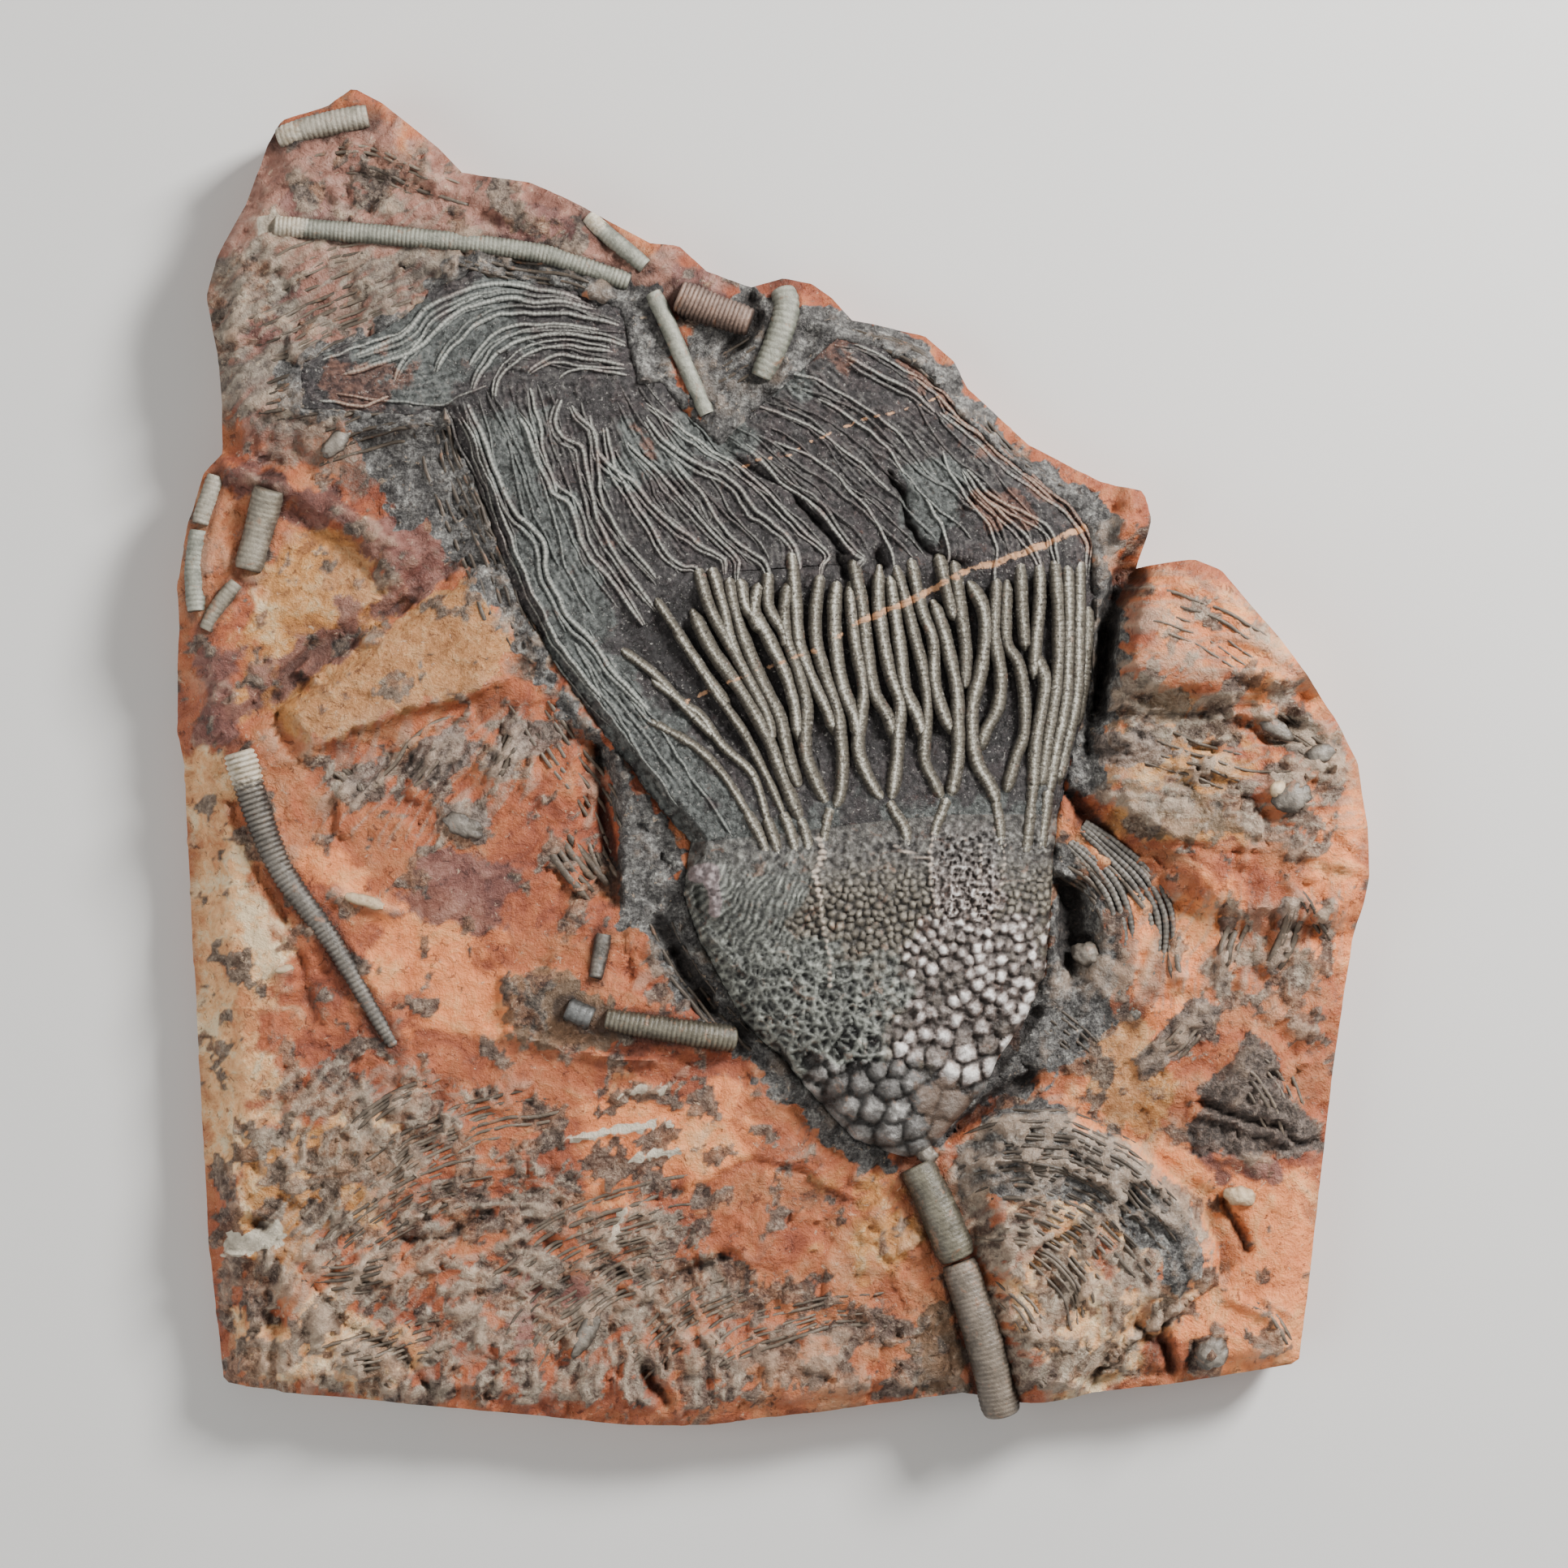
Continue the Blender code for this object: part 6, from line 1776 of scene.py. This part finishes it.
def red_limestone():
    f = Finish("red_limestone_rock")
    broad, middle = f.grain(30, 3, 0.5), f.grain(8, 6, 0.8, 0.62)
    small, fine = f.grain(2.4, 6, 0.5, 0.68), f.grain(0.7, 4, 0.0, 0.7)
    tone = f.sum("ADD", f.sum("MULTIPLY", broad, 0.45), f.sum("MULTIPLY", middle, 0.55))
    tone = f.stirred(tone, small, 0.22)
    colour = f.ramp(tone, (0.3, (0.15, 0.042, 0.026)), (0.41, (0.34, 0.085, 0.038)),
                    (0.5, (0.5, 0.142, 0.056)), (0.58, (0.56, 0.2, 0.082)),
                    (0.7, (0.62, 0.32, 0.17)))
    salmon = f.ramp(f.stirred(middle, small, 0.5), (0.3, (0.72, 0.2, 0.066)),
                    (0.5, (1.0, 0.33, 0.115)), (0.7, (1.0, 0.47, 0.2)))
    colour = f.patch(colour, "salmon", salmon, middle, 1.2, 0.35)
    cream = f.ramp(f.stirred(middle, small, 0.8), (0.3, (0.7, 0.28, 0.11)),
                   (0.5, (1.0, 0.58, 0.27)), (0.66, (1.0, 0.8, 0.5)))
    colour = f.patch(colour, "cream", cream, middle, 1.3, 0.35, 0.9)
    ochre = f.ramp(f.stirred(middle, small, 0.9), (0.3, (0.3, 0.12, 0.04)),
                   (0.5, (0.6, 0.26, 0.07)), (0.62, (0.7, 0.38, 0.15)), (0.75, (0.74, 0.54, 0.3)))
    colour = f.patch(colour, "ochre", ochre, middle, 1.5, 0.35, 0.9)
    mauve = f.ramp(f.stirred(middle, small, 0.6), (0.3, (0.17, 0.075, 0.055)),
                   (0.5, (0.37, 0.19, 0.145)), (0.7, (0.52, 0.35, 0.29)))
    colour = f.patch(colour, "mauve", mauve, middle, 1.2, 0.35, 0.85)
    maroon = f.ramp(f.stirred(middle, small, 0.6), (0.32, (0.08, 0.035, 0.032)),
                    (0.5, (0.19, 0.075, 0.062)), (0.68, (0.34, 0.17, 0.14)))
    colour = f.patch(colour, "maroon", maroon, middle, 1.2, 0.3, 0.9)
    tan = f.ramp(f.stirred(small, fine, 0.4), (0.3, (0.34, 0.14, 0.05)), (0.5, (0.56, 0.26, 0.1)),
                 (0.7, (0.68, 0.4, 0.19)))
    colour = f.patch(colour, "tan", tan, small, 0.8, 0.2)
    level = f.stirred(f.stirred(small, fine, 0.8), f.share("threads"), 0.16)
    grey = f.ramp(level, (0.28, (0.03, 0.024, 0.02)), (0.42, (0.11, 0.086, 0.068)),
                  (0.54, (0.23, 0.18, 0.14)), (0.67, (0.42, 0.35, 0.27)),
                  (0.8, (0.72, 0.64, 0.52)))
    grey = f.mix(f.between(middle, 0.47, 0.6, 0.0, 0.55), grey,
                 f.ramp(level, (0.3, (0.14, 0.05, 0.025)), (0.55, (0.45, 0.2, 0.09)),
                        (0.8, (0.78, 0.56, 0.36))))
    colour = f.patch(colour, "olive", f.mix(0.45, grey, (0.2, 0.145, 0.075)), small, 1.0, 0.2, 0.9)
    cool = f.mix(0.4, grey, (0.19, 0.2, 0.175))
    colour = f.patch(colour, "green", cool, small, 0.9, 0.25, 0.85)
    colour = f.patch(colour, "scraps", grey, small, 1.2, 0.35, 0.92)
    stray = f.between(f.stirred(f.grain(5, 6, 1.4, 0.7), fine, 0.25), 0.57, 0.66, 0.0, 0.6)
    stray = f.sum("MULTIPLY", stray, f.between(f.share("smooth"), 0.1, 0.9, 1.0, 0.25))
    colour = f.mix(stray, colour, grey)
    # The fibres are painted paler along their raised crests: partly their own pale colour, partly
    # painted highlight.
    threads = f.stirred(f.share("threads"), fine, 0.5)
    colour = f.mix(f.between(threads, 0.35, 0.9, 0.0, 0.4), colour, (0.42, 0.36, 0.28))
    mat = f.ramp(f.stirred(small, fine, 0.9), (0.3, (0.018, 0.016, 0.016)),
                 (0.5, (0.105, 0.1, 0.096)), (0.65, (0.25, 0.246, 0.23)),
                 (0.78, (0.5, 0.5, 0.46)))
    colour = f.patch(colour, "mat", mat, middle, 0.9, 0.15)
    flecks = f.between(f.grain(1.3, 4, 0.6, 0.7), 0.62, 0.7, 0.0, 0.6)
    colour = f.mix(flecks, colour, (0.7, 0.52, 0.36))
    pores = f.between(f.grain(1.7, 5, 0.8, 0.7), 0.42, 0.34, 0.0, 0.7)
    colour = f.mix(pores, colour, (0.2, 0.12, 0.1), "MULTIPLY")
    slate = f.ramp(f.stirred(f.stirred(small, fine, 0.9), f.share("threads"), 0.25),
                   (0.3, (0.06, 0.045, 0.037)), (0.5, (0.19, 0.145, 0.12)),
                   (0.7, (0.38, 0.3, 0.25)))
    colour = f.patch(colour, "slate", slate, small, 0.9, 0.2, 0.9)
    colour = f.patch(colour, "pale", (0.7, 0.63, 0.5), small, 0.6, 0.15)
    # Painted shade: darker in the rock's grooves and hollows and beside the columns.
    dark = f.between(f.share("shaded_hollow"), 0.05, 0.95, 0.0, 0.85)
    colour = f.mix(dark, colour, (0.09, 0.055, 0.045), "MULTIPLY")
    # Painted highlight: paler where the rock stands higher.
    colour = f.mix(f.between(f.share("rise_highlight"), 0.15, 0.9, 0.0, 0.38), colour, (0.78, 0.56, 0.4))
    shine = f.between(small, 0.3, 0.7, 0.7, 0.38)
    return f.done(colour, shine, [(middle, 2.2, 0.45), (small, 1.1, 0.9), (fine, 0.4, 0.9)])


def crown_stone(name, shine):
    f = Finish(name)
    middle, small, fine = f.grain(4.5, 4, 0.6, 0.6), f.grain(1.0, 5, 0.4, 0.8), f.grain(0.45, 3, 0, 0.8)
    # This ramp paints light: pale on the strands' tops, near black down their flanks and in the mat
    # between them.
    level = f.stirred(f.stirred(f.share("lit_top_and_tone"), small, 0.55), fine, 0.8)
    colour = f.ramp(level, (0.0, (0.014, 0.012, 0.012)), (0.24, (0.05, 0.044, 0.045)),
                    (0.55, (0.125, 0.118, 0.11)), (0.75, (0.24, 0.236, 0.215)),
                    (1.0, (0.58, 0.58, 0.52)))
    purple = f.between(middle, 0.46, 0.6, 0.0, 0.7)
    colour = f.mix(purple, colour, (0.92, 0.76, 0.78), "MULTIPLY")
    green = f.ramp(level, (0.0, (0.03, 0.034, 0.032)), (0.35, (0.15, 0.166, 0.158)),
                   (0.7, (0.29, 0.31, 0.285)), (1.0, (0.64, 0.66, 0.6)))
    colour = f.patch(colour, "green", green, middle, 1.3, 0.3, 0.85)
    rust = f.ramp(level, (0.0, (0.05, 0.022, 0.018)), (0.5, (0.26, 0.12, 0.08)),
                  (1.0, (0.6, 0.42, 0.31)))
    colour = f.patch(colour, "rust", rust, small, 1.3, 0.25, 0.8)
    # The arms' ramp ends in a near-white line on each crest: painted highlight.
    olive = f.ramp(level, (0.08, (0.016, 0.014, 0.012)), (0.38, (0.075, 0.064, 0.048)),
                   (0.66, (0.125, 0.108, 0.08)), (0.84, (0.31, 0.285, 0.225)),
                   (1.0, (0.88, 0.85, 0.74)))
    colour = f.mix(f.share("arm"), colour, olive)
    spots = f.between(f.grain(2.2, 4, 0.8, 0.7), 0.62, 0.7, 0.0, 0.45)
    colour = f.mix(spots, colour, rust)
    glints = f.between(f.grain(0.7, 3, 0.3, 0.75), 0.6, 0.68, 0.0, 0.6)
    colour = f.mix(glints, colour, (0.5, 0.48, 0.44))
    pits = f.between(f.grain(0.9, 3, 0.4, 0.75), 0.42, 0.34, 0.0, 0.75)
    colour = f.mix(pits, colour, (0.16, 0.14, 0.14), "MULTIPLY")
    colour = f.patch(colour, "vein", (0.72, 0.4, 0.22), fine, 1.5, 0.15)
    # Darker at the rods' ring joints, and on the mat along its cracks, where it is painted shade.
    dark = f.between(f.share("joint"), 0.3, 1.0, 0.0, 0.45)
    colour = f.mix(dark, colour, (0.3, 0.27, 0.26), "MULTIPLY")
    return f.done(colour, f.between(small, 0.3, 0.7, shine + 0.22, shine),
                  [(small, 0.6, 0.8), (fine, 0.3, 0.9)])


def calyx_stone():
    f = Finish("calyx_plates")
    middle, small, fine = f.grain(5, 4, 0.5), f.grain(1.2, 5, 0.3, 0.75), f.grain(0.45, 3, 0, 0.8)
    # The ramps below paint the plates paler on their tops: painted light.
    level = f.stirred(f.stirred(f.share("lit_top_and_tone"), small, 0.5), fine, 0.65)
    plain = f.ramp(level, (0.05, (0.028, 0.024, 0.02)), (0.4, (0.115, 0.1, 0.078)),
                   (0.75, (0.28, 0.25, 0.2)), (1.0, (0.62, 0.58, 0.5)))
    green = f.ramp(level, (0.05, (0.022, 0.023, 0.022)), (0.35, (0.12, 0.125, 0.112)),
                   (0.7, (0.32, 0.335, 0.295)), (1.0, (0.66, 0.68, 0.6)))
    foot = f.ramp(level, (0.1, (0.04, 0.036, 0.034)), (0.45, (0.12, 0.115, 0.108)),
                  (0.75, (0.24, 0.23, 0.22)), (1.0, (0.6, 0.58, 0.55)))
    highlit_plates = f.ramp(level, (0.1, (0.06, 0.046, 0.04)), (0.42, (0.26, 0.215, 0.195)),
                    (0.66, (0.6, 0.55, 0.525)), (0.84, (1.0, 0.97, 0.94)))
    colour = f.patch(plain, "green", green, middle, 0.9, 0.35)
    colour = f.patch(colour, "foot", foot, middle, 0.5, 0.3)
    # Painted highlight: near-white tops on the knobs and lace.
    colour = f.mix(f.between(f.share("highlit_plates"), 0.1, 0.7), colour, highlit_plates)
    rim = f.ramp(level, (0.0, (0.018, 0.016, 0.015)), (0.24, (0.075, 0.07, 0.066)),
                 (0.5, (0.19, 0.185, 0.17)), (0.9, (0.55, 0.54, 0.49)))
    colour = f.mix(f.sum("MULTIPLY", f.share("rim"), 0.8), colour, rim)
    rust = f.between(f.grain(3.0, 4, 0.9, 0.65), 0.58, 0.68, 0.0, 0.5)
    colour = f.mix(rust, colour, f.ramp(level, (0.1, (0.09, 0.04, 0.026)), (0.8, (0.46, 0.26, 0.16))))
    colour = f.patch(colour, "brown", (0.19, 0.13, 0.095), small, 0.8, 0.3, 0.75)
    colour = f.patch(colour, "pink", f.mix(level, (0.14, 0.115, 0.115), (0.5, 0.41, 0.41)), small, 0.6)
    colour = f.mix(f.between(f.share("ray"), 0.3, 0.75, 0.0, 0.85), colour, (0.68, 0.56, 0.46))
    # Painted shade in the pits and seams between the plates.
    colour = f.mix(f.between(f.share("shade_in_pits_and_seams"), 0.2, 0.9, 0.0, 0.85), colour, (0.1, 0.085, 0.075),
                   "MULTIPLY")
    return f.done(colour, f.between(small, 0.3, 0.7, 0.42, 0.2),
                  [(small, 0.5, 0.7), (fine, 0.25, 0.85)])


def column_stone(name, dark, light, shine):
    f = Finish(name)
    middle, small, fine = f.grain(4, 4, 0.5), f.grain(1.2, 4, 0.3, 0.65), f.grain(0.45, 3, 0, 0.7)
    # Painted light: the rings are painted paler on top than down their sides; dark is the sides' colour
    # and light the tops'.
    level = f.stirred(f.stirred(f.sum("MULTIPLY", f.share("lit_top_and_tone"), 0.85), small, 0.5), middle, 0.5)
    colour = f.ramp(level, (0.3, tuple(0.35 * c for c in dark)), (0.62, dark), (0.95, light))
    cream = f.ramp(small, (0.35, (0.5, 0.42, 0.3)), (0.65, (0.74, 0.68, 0.56)))
    colour = f.patch(colour, "worn", cream, small, 1.0, 0.2, 0.95)
    rust = f.between(f.grain(3.0, 5, 0.9, 0.65), 0.58, 0.68, 0.0, 0.5)
    colour = f.mix(rust, colour, (0.36, 0.17, 0.09))
    seams = f.sum("MULTIPLY", f.share("joint"), f.between(middle, 0.3, 0.6, 0.25, 0.75))
    colour = f.mix(seams, colour, (0.25, 0.21, 0.18), "MULTIPLY")
    return f.done(colour, f.between(middle, 0.3, 0.7, shine + 0.2, shine),
                  [(small, 0.4, 0.6), (fine, 0.18, 0.7)])


# --- Making -----------------------------------------------------------------------------------

finish_piece(make_slab(), red_limestone(), "red_limestone", "matrix")
make_crown(crown_stone("arm_stone", 0.24), crown_stone("plume_stone", 0.3))
make_calyx(calyx_stone())
make_columns({
    "pale": column_stone("pale_column", (0.15, 0.155, 0.125), (0.46, 0.46, 0.38), 0.4),
    "cream": column_stone("cream_column", (0.22, 0.2, 0.155), (0.6, 0.55, 0.45), 0.45),
    "dark": column_stone("dark_column", (0.045, 0.039, 0.034), (0.26, 0.235, 0.2), 0.32),
    "olive": column_stone("olive_column", (0.055, 0.048, 0.034), (0.23, 0.21, 0.155), 0.3),
    "brown": column_stone("brown_column", (0.075, 0.06, 0.045), (0.29, 0.24, 0.19), 0.34),
    "dun": column_stone("dun_column", (0.13, 0.11, 0.085), (0.4, 0.36, 0.28), 0.42),
    "blue": column_stone("blue_grey_column", (0.045, 0.047, 0.046), (0.2, 0.205, 0.2), 0.32),
    "red": column_stone("red_column", (0.1, 0.065, 0.052), (0.4, 0.27, 0.21), 0.42),
})
make_scraps({
    "scrap": column_stone("scrap_strands", (0.2, 0.155, 0.115), (0.62, 0.52, 0.4), 0.42),
    "dark": column_stone("dark_pebble", (0.1, 0.084, 0.068), (0.36, 0.32, 0.27), 0.3),
    "pale": column_stone("pale_pebble", (0.5, 0.36, 0.22), (0.85, 0.68, 0.46), 0.5),
})
for ring in RING_MODELS.values():
    bpy.data.objects.remove(ring)


# --- Floor, light and camera ------------------------------------------------------------------


def aimed(made, place, target):
    made.location = place
    made.rotation_euler = (Vector(target) - Vector(place)).to_track_quat("-Z", "Y").to_euler()


def add_light(name, place, size, power, colour):
    bpy.ops.object.light_add(type="AREA", location=place)
    lamp = bpy.context.object
    lamp.name = name
    lamp.data.size = size
    lamp.data.energy = power
    lamp.data.color = colour
    aimed(lamp, place, (0, 0, 0.01))


bpy.ops.object.select_all(action="DESELECT")
bpy.ops.mesh.primitive_plane_add(size=3.0, location=(0, 0, 0))
floor = bpy.context.object
floor.name = "floor"
paper = Finish("pale_floor")
floor.data.materials.append(paper.done((0.8, 0.8, 0.79), 0.9, [(paper.grain(2.0, 2), 0.05, 0.2)]))

add_light("key_light", (0.58, 0.46, 0.46), 0.22, 16, (1.0, 0.985, 0.96))
add_light("fill_light", (-0.8, -0.25, 0.7), 0.9, 6, (1.0, 0.98, 0.95))
world = bpy.data.worlds.new("studio")
world.use_nodes = True
world.node_tree.nodes["Background"].inputs["Color"].default_value = (1.0, 0.98, 0.95, 1)
world.node_tree.nodes["Background"].inputs["Strength"].default_value = 0.26
bpy.context.scene.world = world

bpy.ops.object.camera_add(location=(0.0026, -0.0047, 0.615))
camera = bpy.context.object
camera.name = "camera"
camera.rotation_euler = (0, 0, 0)
camera.data.lens = 78.7
camera.data.sensor_width = 36
bpy.context.scene.camera = camera
